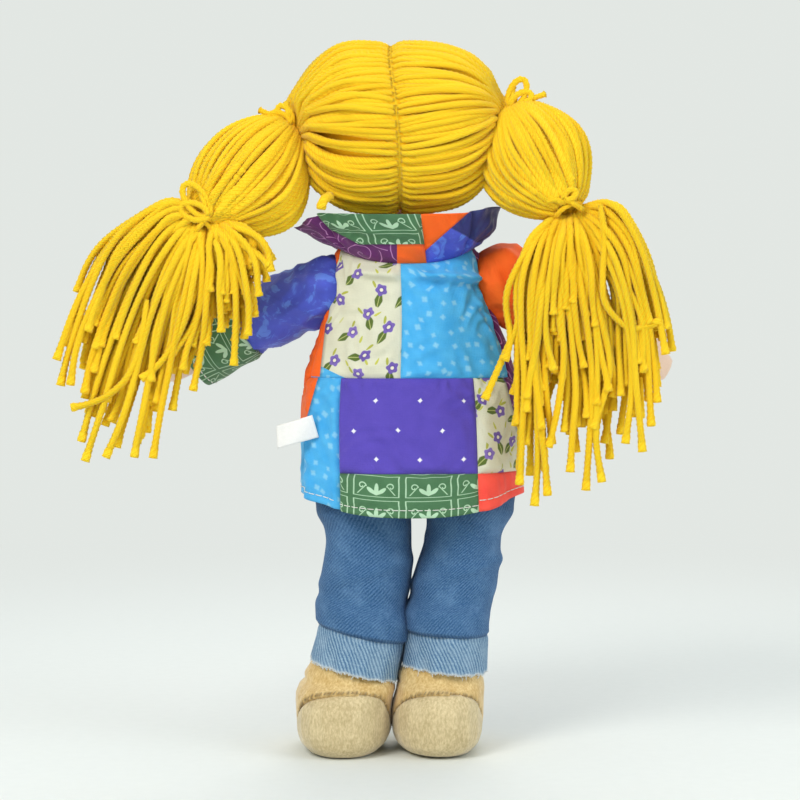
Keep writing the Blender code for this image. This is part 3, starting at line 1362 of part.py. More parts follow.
def build():
    global ROOT
    clear_scene()
    ROOT = bpy.data.objects.new("doll_frame", None)
    bpy.context.scene.collection.objects.link(ROOT)
    torso()
    neck()
    head()
    eye("left_eye", -1)
    eye("right_eye", 1)
    nose()
    mouth()
    parting_seam()
    for side, word, sleeve_cloth in ((-1, "left", "indigo_cotton"), (1, "right", "orange_satin")):
        hair_cap(f"{word}_hair_cap", side)
        pigtail_ball(f"{word}_pigtail_ball", side)
        tuft(f"{word}_hair_tuft", side)
        ball_along = (lower_tie(side) - upper_tie(side)).normalized()
        tuft_along = (tuft_tip(side) - lower_tie(side)).normalized()
        tie(f"{word}_upper_tie", upper_tie(side), ball_along)
        tie(f"{word}_lower_tie", lower_tie(side), tuft_along)
        arm(f"{word}_arm", side)
        sleeve(f"{word}_sleeve", side, cloth(sleeve_cloth))
        sleeve_cuff(f"{word}_sleeve_cuff", side, cloth("green_cotton"))
        leg(f"{word}_leg", side)
        jeans_leg(f"{word}_jeans_leg", side)
        rolled_cuff(f"{word}_jeans_cuff", side)
        shoe(side, f"{word}_shoe_upper", f"{word}_shoe_sole")
    jeans_seat()
    jacket_patches()
    collar_patches()
    care_tag()
    hang_on_joints()
    settle_on_origin()


build()
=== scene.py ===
"""Looks of the rag doll: yarn hair, patchwork jacket, denim, velour shoes and a stitched face.

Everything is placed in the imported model's frame. The doll's own frame has its X = 0 at the
middle of the head and differs from it by a sideways shift only, read from the neck. Lengths are
in metres. Cloth coordinates are in centimetres.
"""
from math import acos, asin, copysign, cos, exp, pi, radians, sin, sqrt, tan, tau

import bmesh
import bpy
import numpy as np
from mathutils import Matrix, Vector
from mathutils.bvhtree import BVHTree


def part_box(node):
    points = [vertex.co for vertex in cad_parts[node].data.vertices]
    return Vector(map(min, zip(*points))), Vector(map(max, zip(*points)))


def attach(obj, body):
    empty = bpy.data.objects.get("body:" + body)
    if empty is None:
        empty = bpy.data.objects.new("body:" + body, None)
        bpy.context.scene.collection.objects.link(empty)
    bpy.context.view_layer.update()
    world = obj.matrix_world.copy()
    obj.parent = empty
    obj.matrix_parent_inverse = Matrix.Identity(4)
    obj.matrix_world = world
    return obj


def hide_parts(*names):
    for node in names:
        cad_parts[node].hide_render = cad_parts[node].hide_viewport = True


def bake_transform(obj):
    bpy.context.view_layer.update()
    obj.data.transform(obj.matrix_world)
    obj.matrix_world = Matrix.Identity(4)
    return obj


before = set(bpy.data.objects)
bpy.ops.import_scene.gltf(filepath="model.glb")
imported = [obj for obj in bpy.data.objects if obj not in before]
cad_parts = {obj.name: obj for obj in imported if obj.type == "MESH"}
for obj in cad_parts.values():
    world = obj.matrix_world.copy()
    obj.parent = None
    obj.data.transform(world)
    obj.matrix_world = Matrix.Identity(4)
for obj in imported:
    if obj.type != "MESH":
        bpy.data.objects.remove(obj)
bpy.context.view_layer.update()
neck_low, neck_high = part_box("neck")
SHIFT = np.array([(neck_low.x + neck_high.x) / 2, (neck_low.y + neck_high.y) / 2, 0.0])
rng = np.random.default_rng(11)

# The photograph's scale and view
PIXEL = 0.000473
PHOTO_MIDDLE = 400
VIEW_ELEVATION = radians(2.5)
VIEW_PLANE = -0.015
LENS, SENSOR = 100, 36
GROUND_ROW = 757

# Sizes shared with the solids
HEAD = np.array([0.0445, 0.0415, 0.0403])
HEAD_Z = 0.2960
HEAD_MIDDLE = np.array([0, 0, HEAD_Z])
TIES = {-1: ((-0.0513, -0.0120, 0.2985), (-0.0900, -0.0360, 0.2520)),
        1: ((0.0520, -0.0120, 0.3065), (0.0770, -0.0360, 0.2590))}
WORD = {-1: "left", 1: "right"}
HIP_Z = 0.1430
HIP_RADIUS = 0.0210
SHOULDER = {-1: (-0.0345, 0.0020, 0.2230), 1: (0.0430, 0.0020, 0.2230)}
ARM_DROP = radians(24.5)
ARM_FORWARD = radians(12)
JACKET_TOP, JACKET_HEM = 0.2415, 0.1155
JACKET_RINGS = ((0.2415, 0.0336, 0.0220, 0.0030), (0.2080, 0.0414, 0.0262, 0.0045),
                (0.1760, 0.0505, 0.0280, 0.0047), (0.1155, 0.0515, 0.0350, 0.0055))
PLAN_POWER = 2.5

FORWARD, UP = (0, 1, 0), (0, 0, 1)
FLOOR_GAP = 0.0003


def at(x, y, z):
    """A point of the doll's own frame, in the row frame."""
    return np.array([x, y, z], float) + SHIFT


AWAY = 2 * PHOTO_MIDDLE * PIXEL * LENS / SENSOR
VIEW_BACK = np.array([0, -cos(VIEW_ELEVATION), sin(VIEW_ELEVATION)])
VIEW_UP = np.array([0, sin(VIEW_ELEVATION), cos(VIEW_ELEVATION)])
VIEW_POINT = VIEW_BACK * AWAY + at(
    0, VIEW_PLANE, (GROUND_ROW - PHOTO_MIDDLE) * PIXEL / cos(VIEW_ELEVATION)
    - VIEW_PLANE * tan(VIEW_ELEVATION))


def seen(column, row, y):
    """The point at depth y that the photograph shows at that column and row."""
    ray = (np.array([1.0, 0, 0]) * (column - PHOTO_MIDDLE) * PIXEL
           + VIEW_UP * (PHOTO_MIDDLE - row) * PIXEL - VIEW_BACK * AWAY)
    return VIEW_POINT + ray * ((y + SHIFT[1] - VIEW_POINT[1]) / ray[1])


def fine(full):
    return full


def ease(x):
    """0 below 0 and 1 above 1, with a soft start and end."""
    x = np.clip(x, 0.0, 1.0)
    return x * x * (3 - 2 * x)


def hill(x, width):
    """1 at 0, falling to either side."""
    return exp(-(x / width)**2)


def unit(v):
    v = np.asarray(v, float)
    return v / np.maximum(np.linalg.norm(v, axis=-1, keepdims=True), 1e-12)


def spline(points, count):
    """Points on a smooth curve through the given ones."""
    p = np.asarray(points, float)
    ext = np.vstack([2 * p[0] - p[1], p, 2 * p[-1] - p[-2]])
    t = np.linspace(0, len(p) - 1, count)
    i = np.minimum(t.astype(int), len(p) - 2)
    f = (t - i)[:, None]
    a, b, c, d = ext[i], ext[i + 1], ext[i + 2], ext[i + 3]
    return 0.5 * (2 * b + (c - a) * f + (2 * a - 5 * b + 4 * c - d) * f**2
                  + (3 * b - a - 3 * c + d) * f**3)


def evenly(path, step):
    """The path again with even steps, and the distance along it."""
    d = np.r_[0, np.cumsum(np.linalg.norm(np.diff(path, axis=0), axis=1))]
    s = np.linspace(0, d[-1], max(5, int(d[-1] / step) + 1))
    return np.stack([np.interp(s, d, path[:, k]) for k in range(3)], 1), s


def walk(path, step):
    """A function that gives the point at a distance along the path, and the path's length."""
    points, s = evenly(path, step)
    return lambda x: np.array([np.interp(x, s, points[:, k]) for k in range(3)]), s[-1]


def wander(count, size, waves):
    """A slow random curve in three directions, nought at its start."""
    t = np.linspace(0, 1, count)[:, None]
    out = np.zeros((count, 3))
    for w in range(1, waves + 1):
        phase = rng.uniform(0, tau, 3)
        out += np.sin(t * pi * w * 1.3 + phase) * rng.uniform(0.3, 1.0, 3) / w
    return (out - out[0]) * size


# ---- meshes ----

def link(name, data):
    made = bpy.data.objects.new(name, data)
    bpy.context.scene.collection.objects.link(made)
    return made


def make(name, verts, faces, finish, uv=None, attributes=None):
    """A smooth mesh object with its rest position, flat cloth coordinates and values kept."""
    verts = np.asarray(verts, float)
    mesh = bpy.data.meshes.new(name)
    mesh.from_pydata(verts.tolist(), [], [tuple(f) for f in faces])
    mesh.materials.append(finish)
    mesh.shade_smooth()
    rest = mesh.attributes.new("rest", "FLOAT_VECTOR", "POINT")
    rest.data.foreach_set("vector", verts.astype(np.float32).ravel())
    for key, values in (attributes or {}).items():
        kept = mesh.attributes.new(key, "FLOAT", "POINT")
        kept.data.foreach_set("value", np.asarray(values, np.float32))
    if uv is not None:
        layer = mesh.uv_layers.new(name="flat")
        corner = np.zeros(len(mesh.loops), np.int32)
        mesh.loops.foreach_get("vertex_index", corner)
        layer.data.foreach_set("uv", np.asarray(uv, np.float32)[corner].ravel())
    mesh.update()
    return link(name, mesh)


def face_out(obj, weld=False, loose=False):
    """Make a closed mesh face out, after joining points that coincide or dropping loose ones."""
    shape = bmesh.new()
    shape.from_mesh(obj.data)
    if weld:
        bmesh.ops.remove_doubles(shape, verts=shape.verts, dist=1e-6)
    if loose:
        spare = [v for v in shape.verts if not v.link_faces]
        bmesh.ops.delete(shape, geom=spare, context="VERTS")
    bmesh.ops.recalc_face_normals(shape, faces=shape.faces)
    shape.to_mesh(obj.data)
    shape.free()
    return obj


def strip_faces(columns, rows, around=False, start=0):
    """Quads of a grid of points kept column after column."""
    c = np.arange(columns if around else columns - 1)[:, None]
    r = np.arange(rows - 1)[None, :]
    d = (c + 1) % columns
    quads = np.stack([c * rows + r, d * rows + r, d * rows + r + 1, c * rows + r + 1], -1)
    return (quads.reshape(-1, 4) + start).tolist()


def tube_faces(rings, sides, start=0):
    """Quads of closed rings of points kept ring after ring."""
    i, k = np.arange(rings - 1)[:, None] * sides, np.arange(sides)
    after = (k + 1) % sides
    quads = np.stack([i + k, i + after, i + sides + after, i + sides + k], -1)
    return (quads.reshape(-1, 4) + start).tolist()


def two_faced(name, outer, inner, faces, finish, uv, attributes):
    """A mesh of both faces of a cloth, with the same values on both."""
    verts = np.vstack([outer.reshape(-1, 3), inner.reshape(-1, 3)])
    values = {k: np.r_[v.ravel(), v.ravel()] for k, v in (attributes or {}).items()}
    return make(name, verts, faces, finish, np.vstack([uv.reshape(-1, 2)] * 2), values)


def slab(name, outer, inner, finish, uv, attributes=None, keep=None):
    """Cloth with two faces and a rim, from grids kept columns first. keep leaves faces out."""
    columns, rows = outer.shape[:2]
    count = columns * rows
    front = [(c * rows + r, (c + 1) * rows + r, (c + 1) * rows + r + 1, c * rows + r + 1)
             for c in range(columns - 1) for r in range(rows - 1) if keep is None or keep[c, r]]
    back = [tuple(i + count for i in f[::-1]) for f in front]
    edges = {(a, b): True for f in front for a, b in zip(f, f[1:] + f[:1])}
    rim = [(b, a, a + count, b + count) for a, b in edges if (b, a) not in edges]
    return face_out(two_faced(name, outer, inner, front + back + rim, finish, uv, attributes),
                    loose=True)


def pipe_cloth(name, outer, inner, finish, uv, attributes=None):
    """A tube of cloth, its first and last columns joined, open at both its ends."""
    count, rows = outer.shape[:2]
    shell = count * rows
    faces = strip_faces(count, rows)
    faces += [f[::-1] for f in strip_faces(count, rows, start=shell)]
    for r in (0, rows - 1):
        for c in range(count - 1):
            a, b = c * rows + r, (c + 1) * rows + r
            faces.append((a, b, b + shell, a + shell))
    return face_out(two_faced(name, outer, inner, faces, finish, uv, attributes), weld=True)


YARN_SIDES = 8
YARN_STEP = fine(0.0014)
YARN_PITCH = 0.0104
YARN_RADIUS = 0.00170
YARN_GROOVE = 0.88
YARN_END = 0.0002
HAIR_WIDTH = 0.00008


def yarn(name, strands, finish, sides=YARN_SIDES, step=YARN_STEP, pitch=YARN_PITCH, fuzz=0):
    """Plied yarn along paths. A strand is its path, its radius or radii, and a side direction."""
    verts, faces, painted_ply_light, shade, flat = [], [], [], [], []
    start = 0
    k = np.arange(sides)
    crest = np.where(k % 2 == 0, 1.0, YARN_GROOVE)
    for path, radius, side in strands:
        pts, s = evenly(np.asarray(path, float), step)
        t = unit(np.gradient(pts, axis=0))
        n = unit(np.cross(t, side))
        b = np.cross(t, n)
        rad = radius(s / s[-1]) if callable(radius) else np.full(len(s), float(radius))
        angle = tau * k / sides + tau * s[:, None] / pitch + rng.uniform(0, 6)
        arm = np.cos(angle)[..., None] * n[:, None] + np.sin(angle)[..., None] * b[:, None]
        rings = pts[:, None] + arm * (rad[:, None] * crest)[..., None]
        verts += [rings.reshape(-1, 3), [pts[0] - t[0] * YARN_END, pts[-1] + t[-1] * YARN_END]]
        count = len(pts)
        faces += tube_faces(count, sides, start)
        last = start + count * sides
        for m in range(sides):
            after = (m + 1) % sides
            faces.append([last, start + after, start + m])
            faces.append([last + 1, last - sides + m, last - sides + after])
        left, right, low, high = np.broadcast_arrays(k / sides, (k + 1) / sides,
                                                     s[:-1, None], s[1:, None])
        corners = np.stack([left, low, right, low, right, high, left, high], -1)
        flat += [corners.reshape(-1, 2), np.zeros((sides * 6, 2))]
        one = rng.uniform(0, 1)
        # 1 on the crests and 0 in the grooves, for the finish's painted light and shade; the end
        # caps get the middle
        painted_ply_light += [np.tile((k + 1) % 2, count), [0.5, 0.5]]
        shade.append(np.full(count * sides + 2, one))
        start = last + 2
        hairs = fine(int(fuzz * s[-1]))
        if hairs:
            place = rng.integers(1, count - 1, hairs)
            way = rng.uniform(0, tau, hairs)[:, None]
            out = np.cos(way) * n[place] + np.sin(way) * b[place]
            root = pts[place] + out * rad[place][:, None] * 0.93
            lean = unit(out * rng.uniform(0.25, 1.0, (hairs, 1))
                        + t[place] * rng.choice([-1, 1], (hairs, 1)))
            across = unit(np.cross(lean, out + 0.01)) * HAIR_WIDTH
            tips = root + lean * rng.uniform(0.0007, 0.0019, (hairs, 1))
            verts.append(np.stack([root - across, root + across, tips], 1).reshape(-1, 3))
            faces += (np.arange(hairs * 3).reshape(-1, 3) + start).tolist()
            # The hairs are painted nearly as lit as a crest
            painted_ply_light.append(np.full(hairs * 3, 0.8))
            shade.append(np.full(hairs * 3, one))
            flat.append(np.zeros((hairs * 3, 2)))
            start += hairs * 3
    made = make(name, np.vstack(verts), faces, finish, None,
                {"painted_ply_light": np.concatenate(painted_ply_light), "shade": np.concatenate(shade)})
    layer = made.data.uv_layers.new(name="flat")
    layer.data.foreach_set("uv", np.concatenate(flat).astype(np.float32).ravel())
    return made


# ---- materials ----

class Wire:
    """An output of a node. Sums of it with numbers and other outputs make math nodes."""

    def __init__(self, net, socket):
        self.net, self.socket = net, socket

    def __abs__(self):
        return self.net.m("ABSOLUTE", self)


for sign, kind in (("add", "ADD"), ("sub", "SUBTRACT"), ("mul", "MULTIPLY"), ("truediv", "DIVIDE"),
                   ("mod", "FLOORED_MODULO"), ("pow", "POWER")):
    setattr(Wire, "__%s__" % sign, lambda a, b, kind=kind: a.net.m(kind, a, b))
    setattr(Wire, "__r%s__" % sign, lambda a, b, kind=kind: a.net.m(kind, b, a))


class Net:
    """A node material, built up with short calls."""

    def __init__(self, name, roughness=0.85, **sockets):
        self.mat = bpy.data.materials.new(name)
        self.mat.use_nodes = True
        self.tree = self.mat.node_tree
        self.shader = self.tree.nodes["Principled BSDF"]
        self.shader.inputs["Roughness"].default_value = roughness
        for key, value in sockets.items():
            self.shader.inputs[key.replace("_", " ")].default_value = value

    def put(self, kind, inputs=(), **settings):
        node = self.tree.nodes.new(kind)
        for key, value in settings.items():
            setattr(node, key, value)
        for key, value in dict(inputs).items():
            self.give(node.inputs[key], value)
        return node

    def give(self, socket, value):
        value = value.socket if isinstance(value, Wire) else value
        if isinstance(value, bpy.types.NodeSocket):
            self.tree.links.new(value, socket)
        elif value is not None:
            socket.default_value = value

    def read(self, kind, inputs=(), output=0, **settings):
        """One output of a new node."""
        return Wire(self, self.put(kind, inputs, **settings).outputs[output])

    def m(self, operation, a, b=None):
        return self.read("ShaderNodeMath", {0: a, 1: b}, operation=operation)

    def sin(self, x):
        return self.m("SINE", x)

    def cos(self, x):
        return self.m("COSINE", x)

    def heading(self, y, x):
        return self.m("ARCTAN2", y, x)

    def floor(self, x):
        return self.m("FLOOR", x)

    def fract(self, x):
        return self.m("FRACT", x)

    def length(self, x, y):
        return self.m("SQRT", x * x + y * y)

    def most(self, first, *others):
        for other in others:
            first = self.m("MAXIMUM", first, other)
        return first

    def step(self, x, low, high):
        """0 at low and 1 at high, or the other way round, with a soft middle."""
        ends = (low, high, 0.0, 1.0) if low <= high else (high, low, 1.0, 0.0)
        return self.read("ShaderNodeMapRange", {0: x, **dict(enumerate(ends, 1))},
                         interpolation_type="SMOOTHSTEP")

    def mix(self, share, a, b):
        a, b = (c if isinstance(c, Wire) else (*c, 1) for c in (a, b))
        return self.read("ShaderNodeMix", {0: share, 6: a, 7: b}, 2, data_type="RGBA")

    def value(self, name, output="Fac"):
        return self.read("ShaderNodeAttribute", (), output, attribute_name=name)

    def rest(self):
        return self.value("rest", "Vector")

    def flat(self):
        return self.read("ShaderNodeUVMap", uv_map="flat")

    def parts(self, vector):
        return [Wire(self, s) for s in self.put("ShaderNodeSeparateXYZ", {0: vector}).outputs]

    def placed(self, vector, place=(0, 0, 0), turn=0.0, scale=(1, 1, 1)):
        return self.read("ShaderNodeMapping", {"Vector": vector, "Location": place,
                                               "Rotation": (0, 0, turn), "Scale": scale})

    def noise(self, vector, scale, detail=2.0, rough=0.5, distortion=0.0):
        return self.read("ShaderNodeTexNoise", {"Vector": vector, "Scale": scale, "Detail": detail,
                                                "Roughness": rough, "Distortion": distortion},
                         "Fac")

    def cells(self, vector, scale, jitter=1.0):
        """Across and up from the nearest cell's point, and two random values of that cell."""
        node = self.put("ShaderNodeTexVoronoi", {"Vector": vector, "Scale": scale,
                                                 "Randomness": jitter}, voronoi_dimensions="2D")
        away = self.read("ShaderNodeVectorMath", {0: vector, 1: node.outputs["Position"]},
                         operation="SUBTRACT")
        return *self.parts(away)[:2], *self.parts(node.outputs["Color"])[:2]

    def join(self, x, y):
        return self.read("ShaderNodeCombineXYZ", {0: x, 1: y})

    def bump(self, height, distance, strength=1.0):
        self.give(self.shader.inputs["Normal"], self.read(
            "ShaderNodeBump", {"Strength": strength, "Distance": distance, "Height": height}))

    def colour(self, wire):
        self.give(self.shader.inputs["Base Color"], wire)
        return self.mat


def weave(net, scale=26.0):
    """Crossing threads, in flat centimetres."""
    u, v, _ = net.parts(net.flat())
    return net.sin(u * (scale * pi)) * 0.25 + net.sin(v * (scale * pi)) * 0.25


def cloth(name, paint, roughness=0.8, mottle=0.10, sheen=0.15, thread=26.0):
    """A woven print: paint makes the colour from the flat cloth coordinates."""
    net = Net(name, roughness, Sheen_Weight=sheen, Specular_IOR_Level=0.25)
    colour = paint(net, net.flat())
    threads = weave(net, thread)
    patchy = net.noise(net.flat(), 1.3, 3.0)
    grain = net.noise(net.flat(), 34.0, 1.0)
    level = (patchy - 0.5) * (mottle * 2) + (grain - 0.5) * 0.1 + threads * 0.07 + 1.0
    crease = net.noise(net.flat(), 2.6, 4.0, 0.55, 0.6)
    net.bump(threads * 0.35 + crease * 2.2, 0.00022, 0.75)
    return net.colour(net.read("ShaderNodeVectorMath", {0: colour, "Scale": level},
                               operation="SCALE"))


def lattice(net, vector, width, height, half_step=True):
    """Across and up from a cell's middle, in rows that may be set off by half a cell."""
    u, v, _ = net.parts(vector)
    y = v / height
    row = net.floor(y)
    x = u / width
    if half_step:
        x = x + row % 2.0 * 0.5
    return (net.fract(x) - 0.5) * width, (net.fract(y) - 0.5) * height


def turned(net, x, y, angle):
    """x and y turned by an angle that may vary."""
    c, s = net.cos(angle), net.sin(angle)
    return x * c + y * s, y * c - x * s


def oval(net, x, y, cx, cy, rx, ry, soft=0.12):
    """1 inside an oval."""
    return net.step(net.length((x - cx) / rx, (y - cy) / ry), 1.0 + soft, 1.0 - soft)


def paint_floral(net, flat):
    """Cream cotton with violet blossoms, each with a long leaf, and loose buds."""
    base = net.mix(net.noise(flat, 0.9), (0.66, 0.65, 0.50), (0.74, 0.735, 0.59))
    x, y, red, green = net.cells(net.placed(flat, (0.3, 0.2, 0), 0.5), 0.74, 0.50)
    x, y = turned(net, x, y, (red - 0.5) * 2.2 + -0.5)
    y = y - 0.22
    lx, ly = turned(net, x - 0.18, y + 0.46, -1.15)
    thin = 0.195 - abs(lx) * 0.22
    leaf = oval(net, lx, ly, 0.0, 0.0, 0.40, thin)
    rib = net.step(abs(ly), 0.03, 0.014)
    vein = net.step(net.sin(lx * 55.0 + abs(ly) * 60.0), 0.5, 0.9)
    green_leaf = net.mix(vein * 0.35, (0.095, 0.15, 0.025), (0.2, 0.26, 0.06))
    lx2, ly2 = turned(net, x + 0.42, y - 0.06, -0.7)
    leaf2 = oval(net, lx2, ly2, 0.0, 0.0, 0.19, 0.065)
    r = net.length(x, y)
    petal = net.cos(net.heading(y, x) * 5.0)
    edge = petal * 0.035 + 0.268
    bloom = net.step(r - edge, 0.02, -0.02)
    ring = line(net, r - 0.12, 0.014, 0.018)
    heart = net.step(r, 0.100, 0.065)
    colour = net.mix(leaf2, base, (0.42, 0.44, 0.07))
    colour = net.mix(leaf, colour, net.mix(rib, green_leaf, (0.42, 0.46, 0.16)))
    colour = net.mix(bloom, colour, net.mix(green, (0.15, 0.095, 0.40), (0.25, 0.17, 0.55)))
    colour = net.mix(ring * 0.7, colour, (0.08, 0.04, 0.25))
    colour = net.mix(heart, colour, (0.82, 0.78, 0.60))
    bx, by, r2, g2 = net.cells(net.placed(flat, (3.3, 1.7, 0)), 0.95, 0.9)
    bx, by = turned(net, bx, by, r2 * 1.6 + 0.6)
    bud = oval(net, bx, by, 0.0, 0.0, 0.19, 0.055 - bx * 0.12) * net.step(g2, 0.3, 0.34)
    free = 1.0 - net.most(leaf, bloom, leaf2)
    return net.mix(bud * free, colour, (0.55, 0.56, 0.09))


def line(net, distance, half, soft=0.018):
    return net.step(abs(distance), half + soft, half - soft)


def paint_sky(net, flat):
    """Sky blue with small pale blossoms."""
    base = net.mix(net.noise(flat, 1.4, 3.0), (0.026, 0.34, 0.78), (0.115, 0.52, 0.89))
    x, y, red, green = net.cells(flat, 1.45, 0.70)
    x, y = turned(net, x, y, red * 6.0)
    r = net.length(x, y)
    petal = net.cos(net.heading(y, x) * 4.0)
    size = 0.085 + green * 0.05
    bloom = net.step(r - (size + petal * 0.018), 0.08, -0.065)
    return net.mix(bloom * 0.48, base, (0.42, 0.76, 0.9))


def paint_violet(net, flat):
    """Violet with small white four-cornered spots in offset rows."""
    base = net.mix(net.noise(flat, 1.1), (0.080, 0.052, 0.41), (0.115, 0.075, 0.50))
    speck = net.step(net.noise(flat, 60.0, 0.0), 0.62, 0.74)
    base = net.mix(speck * 0.25, base, (0.25, 0.18, 0.7))
    x, y = lattice(net, net.placed(flat, (0.38, 0.0, 0)), 2.08, 1.40)
    x, y = abs(x), abs(y)
    spot = net.most(net.step(x**0.6 + y**0.6, 0.345, 0.3),
                    net.step(net.length(x, y), 0.095, 0.065))
    return net.mix(spot, base, (0.88, 0.86, 0.95))


def paint_green(net, flat):
    """Leaf green with pale frames, a fan of petals and two hooks in each."""
    base = net.mix(net.noise(flat, 1.6), (0.056, 0.155, 0.070), (0.086, 0.210, 0.098))
    x, y = lattice(net, net.placed(flat, (0.2, 0.28, 0)), 2.45, 1.16, False)
    ax = abs(x)
    box = net.most(ax / 1.06, abs(y) / 0.49)
    frame_line = line(net, box - 1.0, 0.028, 0.02)
    inside = net.step(box, 1.0, 0.96)
    r = net.length(x, y + 0.42)
    theta = net.heading(x, y + 0.42)
    reach = 0.4 + net.cos(theta * 7.0) * 0.16
    fan = net.step(r - reach, 0.03, -0.02) * net.step(abs(theta), 1.25, 1.15)
    hx, hy = ax - 0.68, y + 0.02
    coil = net.length(hx, hy) - (0.11 + net.heading(hy, hx) * 0.028)
    hook = line(net, coil, 0.026, 0.016)
    stem = (line(net, ax + y * 0.9 - 0.52, 0.028)
            * (net.step(y, 0.05, 0.0) * net.step(y, -0.42, -0.38)))
    pale = net.most(frame_line, inside * net.most(fan, hook, stem))
    tone = net.mix(net.noise(flat, 3.0), (0.42, 0.66, 0.44), (0.56, 0.78, 0.56))
    return net.mix(pale * 0.92, base, tone)


def paint_purple(net, flat):
    """Plum with thin pink rings and curls."""
    base = net.mix(net.noise(flat, 1.2), (0.105, 0.018, 0.115), (0.16, 0.03, 0.17))
    wob = net.noise(flat, 1.4, 1.0)
    x, y, _, _ = net.cells(flat, 0.62, 0.8)
    r = net.length(x, y)
    theta = net.heading(y, x)
    curl = r + (wob - 0.5) * 0.25 - (theta + pi) * 0.075
    ring_line = line(net, net.fract(curl / 0.47) - 0.5, 0.045, 0.035)
    return net.mix(ring_line * 0.85, base, (0.62, 0.28, 0.6))


def paint_indigo(net, flat):
    """Indigo with brushed blue blotches."""
    base = net.mix(net.noise(flat, 1.0), (0.052, 0.074, 0.47), (0.098, 0.135, 0.76))
    blot = net.noise(net.placed(flat, turn=0.6, scale=(1.0, 0.8, 1.0)), 1.55, 3.0, 0.55, 0.8)
    patch = net.step(blot, 0.535, 0.62)
    flecks = net.step(net.noise(flat, 4.5, 1.0), 0.60, 0.72)
    some = net.most(patch * 0.8, flecks * 0.22)
    return net.mix(some, base, (0.13, 0.26, 0.85))


def paint_orange(net, flat):
    return net.mix(net.noise(flat, 0.8, 3.0), (1.0, 0.106, 0.009), (1.0, 0.180, 0.018))


def paint_coral(net, flat):
    return net.mix(net.noise(flat, 1.2, 2.0), (0.95, 0.062, 0.048), (1.0, 0.115, 0.075))


def behind(net):
    """Sideways place and height in the doll's frame, and whether a point is on the back."""
    x, y, z = net.parts(net.rest())
    across, middle = float(SHIFT[0]), float(SHIFT[1])
    return x - across, z, net.step(y, middle + 0.0002, middle - 0.0002)


def beside_seam(net, away, wide=0.0016):
    """The shade along a painted seam, wide on its near side."""
    return net.step(away, -wide, 0.0) * net.step(away, 0.0002, 0.0)


def side_corner(net, x_top, x_low, z_top, z_low, left):
    """The corner of a side strip that belongs to the front panel: where, and its seam's shade."""
    x, z, back = behind(net)
    slope = (x_top - x_low) / (z_top - z_low)
    border = (z - z_low) * slope + x_low
    away = border - x if left else x - border
    above = net.step(z, z_low - 0.0045, z_low - 0.0040)
    part = net.step(away, -0.0001, 0.0001) * above
    return net.most(part, (1.0 - back) * above), beside_seam(net, away, 0.0018) * above


def paint_strip_sky(net, flat):
    part, shade = side_corner(net, -0.0372, -0.0433, 0.1854, 0.1640, True)
    colour = net.mix(part, paint_sky(net, flat), paint_orange(net, flat))
    return net.mix(shade * 0.5, colour, (0.02, 0.02, 0.05))


def paint_strip_floral(net, flat):
    part, shade = side_corner(net, 0.0494, 0.0552, 0.1812, 0.1585, False)
    colour = net.mix(part, paint_floral(net, flat), paint_purple(net, flat))
    return net.mix(shade * 0.5, colour, (0.02, 0.01, 0.03))


def paint_back_floral(net, flat):
    """The floral patch, the front's orange beyond its side seam, and the sky strip's corner."""
    part, shade = side_corner(net, -0.0314, -0.0374, 0.2403, 0.1850, True)
    x, z, back = behind(net)
    corner = net.step(0.1856 - (x + 0.0372) * 0.45 - z, -0.0001, 0.0001)
    colour = net.mix(corner * back, paint_floral(net, flat), paint_sky(net, flat))
    colour = net.mix(part, colour, paint_orange(net, flat))
    return net.mix(shade * 0.5, colour, (0.04, 0.02, 0.04))


def paint_collar_green(net, flat):
    """The green patch, with the purple and orange ones that show under its edge."""
    x, z, back = behind(net)
    border = 0.2428 + net.most(-0.019 - x, 0.0) * 0.52
    away = z - border
    under = net.step(away, 0.0001, -0.0001) * back
    lower = net.mix(net.step(x, -0.0015, -0.0013), paint_purple(net, flat),
                    paint_orange(net, flat))
    colour = net.mix(under, paint_green(net, flat), lower)
    # Painted shade beside the seam
    return net.mix(beside_seam(net, away) * back * 0.45, colour, (0.02, 0.01, 0.03))


def paint_collar_indigo(net, flat):
    """Indigo, plain on the turned-over reverse at the collar's end, with painted shade over it."""
    x, z, back = behind(net)
    border = net.most(0.2512 - (x - 0.0215) * 0.5, 0.244)
    # Painted shade over the plain reverse of the turned-over end
    dark = net.step(z - border, -0.0004, 0.0007) * back * 0.88
    return net.mix(dark, paint_indigo(net, flat), (0.030, 0.031, 0.125))


def paint_collar_orange(net, flat):
    """Orange satin, with the indigo patch folded in over its lower right corner."""
    x, z, back = behind(net)
    away = x - (0.0118 + (z - 0.2398) * 1.14)
    colour = net.mix(net.step(away, -0.0001, 0.0001) * back, paint_orange(net, flat),
                     paint_collar_indigo(net, flat))
    # Painted shade beside the seam
    return net.mix(beside_seam(net, away) * back * 0.4, colour, (0.05, 0.01, 0.04))


def yarn_finish():
    """Soft plied wool: fine twisted lines, fuzz and a tone for each strand, with painted shade in
    the grooves between plies and along the twist lines.
    """
    net = Net("golden_yarn", 0.95, Sheen_Weight=0.12, Sheen_Roughness=0.5, Specular_IOR_Level=0.05)
    painted_ply_light, shade = net.value("painted_ply_light"), net.value("shade")
    around, along, _ = net.parts(net.flat())
    twist = net.sin(around * (8 * tau) + along * 90.0)
    fibre = net.noise(net.rest(), 1300.0, 2.0, 0.65)
    tone = painted_ply_light * 0.44 + shade * 0.24 + ((fibre - 0.5) * 0.75 + twist * 0.27)
    # The two colours are the yarn in painted shade and in painted light: grooves and twist lines
    # lean to the shaded one, crests to the lit one, with random tone per strand and fibre
    colour = net.mix(net.step(tone, -0.34, 0.60), (0.98, 0.500, 0.006), (1.0, 0.706, 0.030))
    net.bump(fibre * 0.8 + twist * 0.5, 0.0003, 0.5)
    return net.colour(colour)


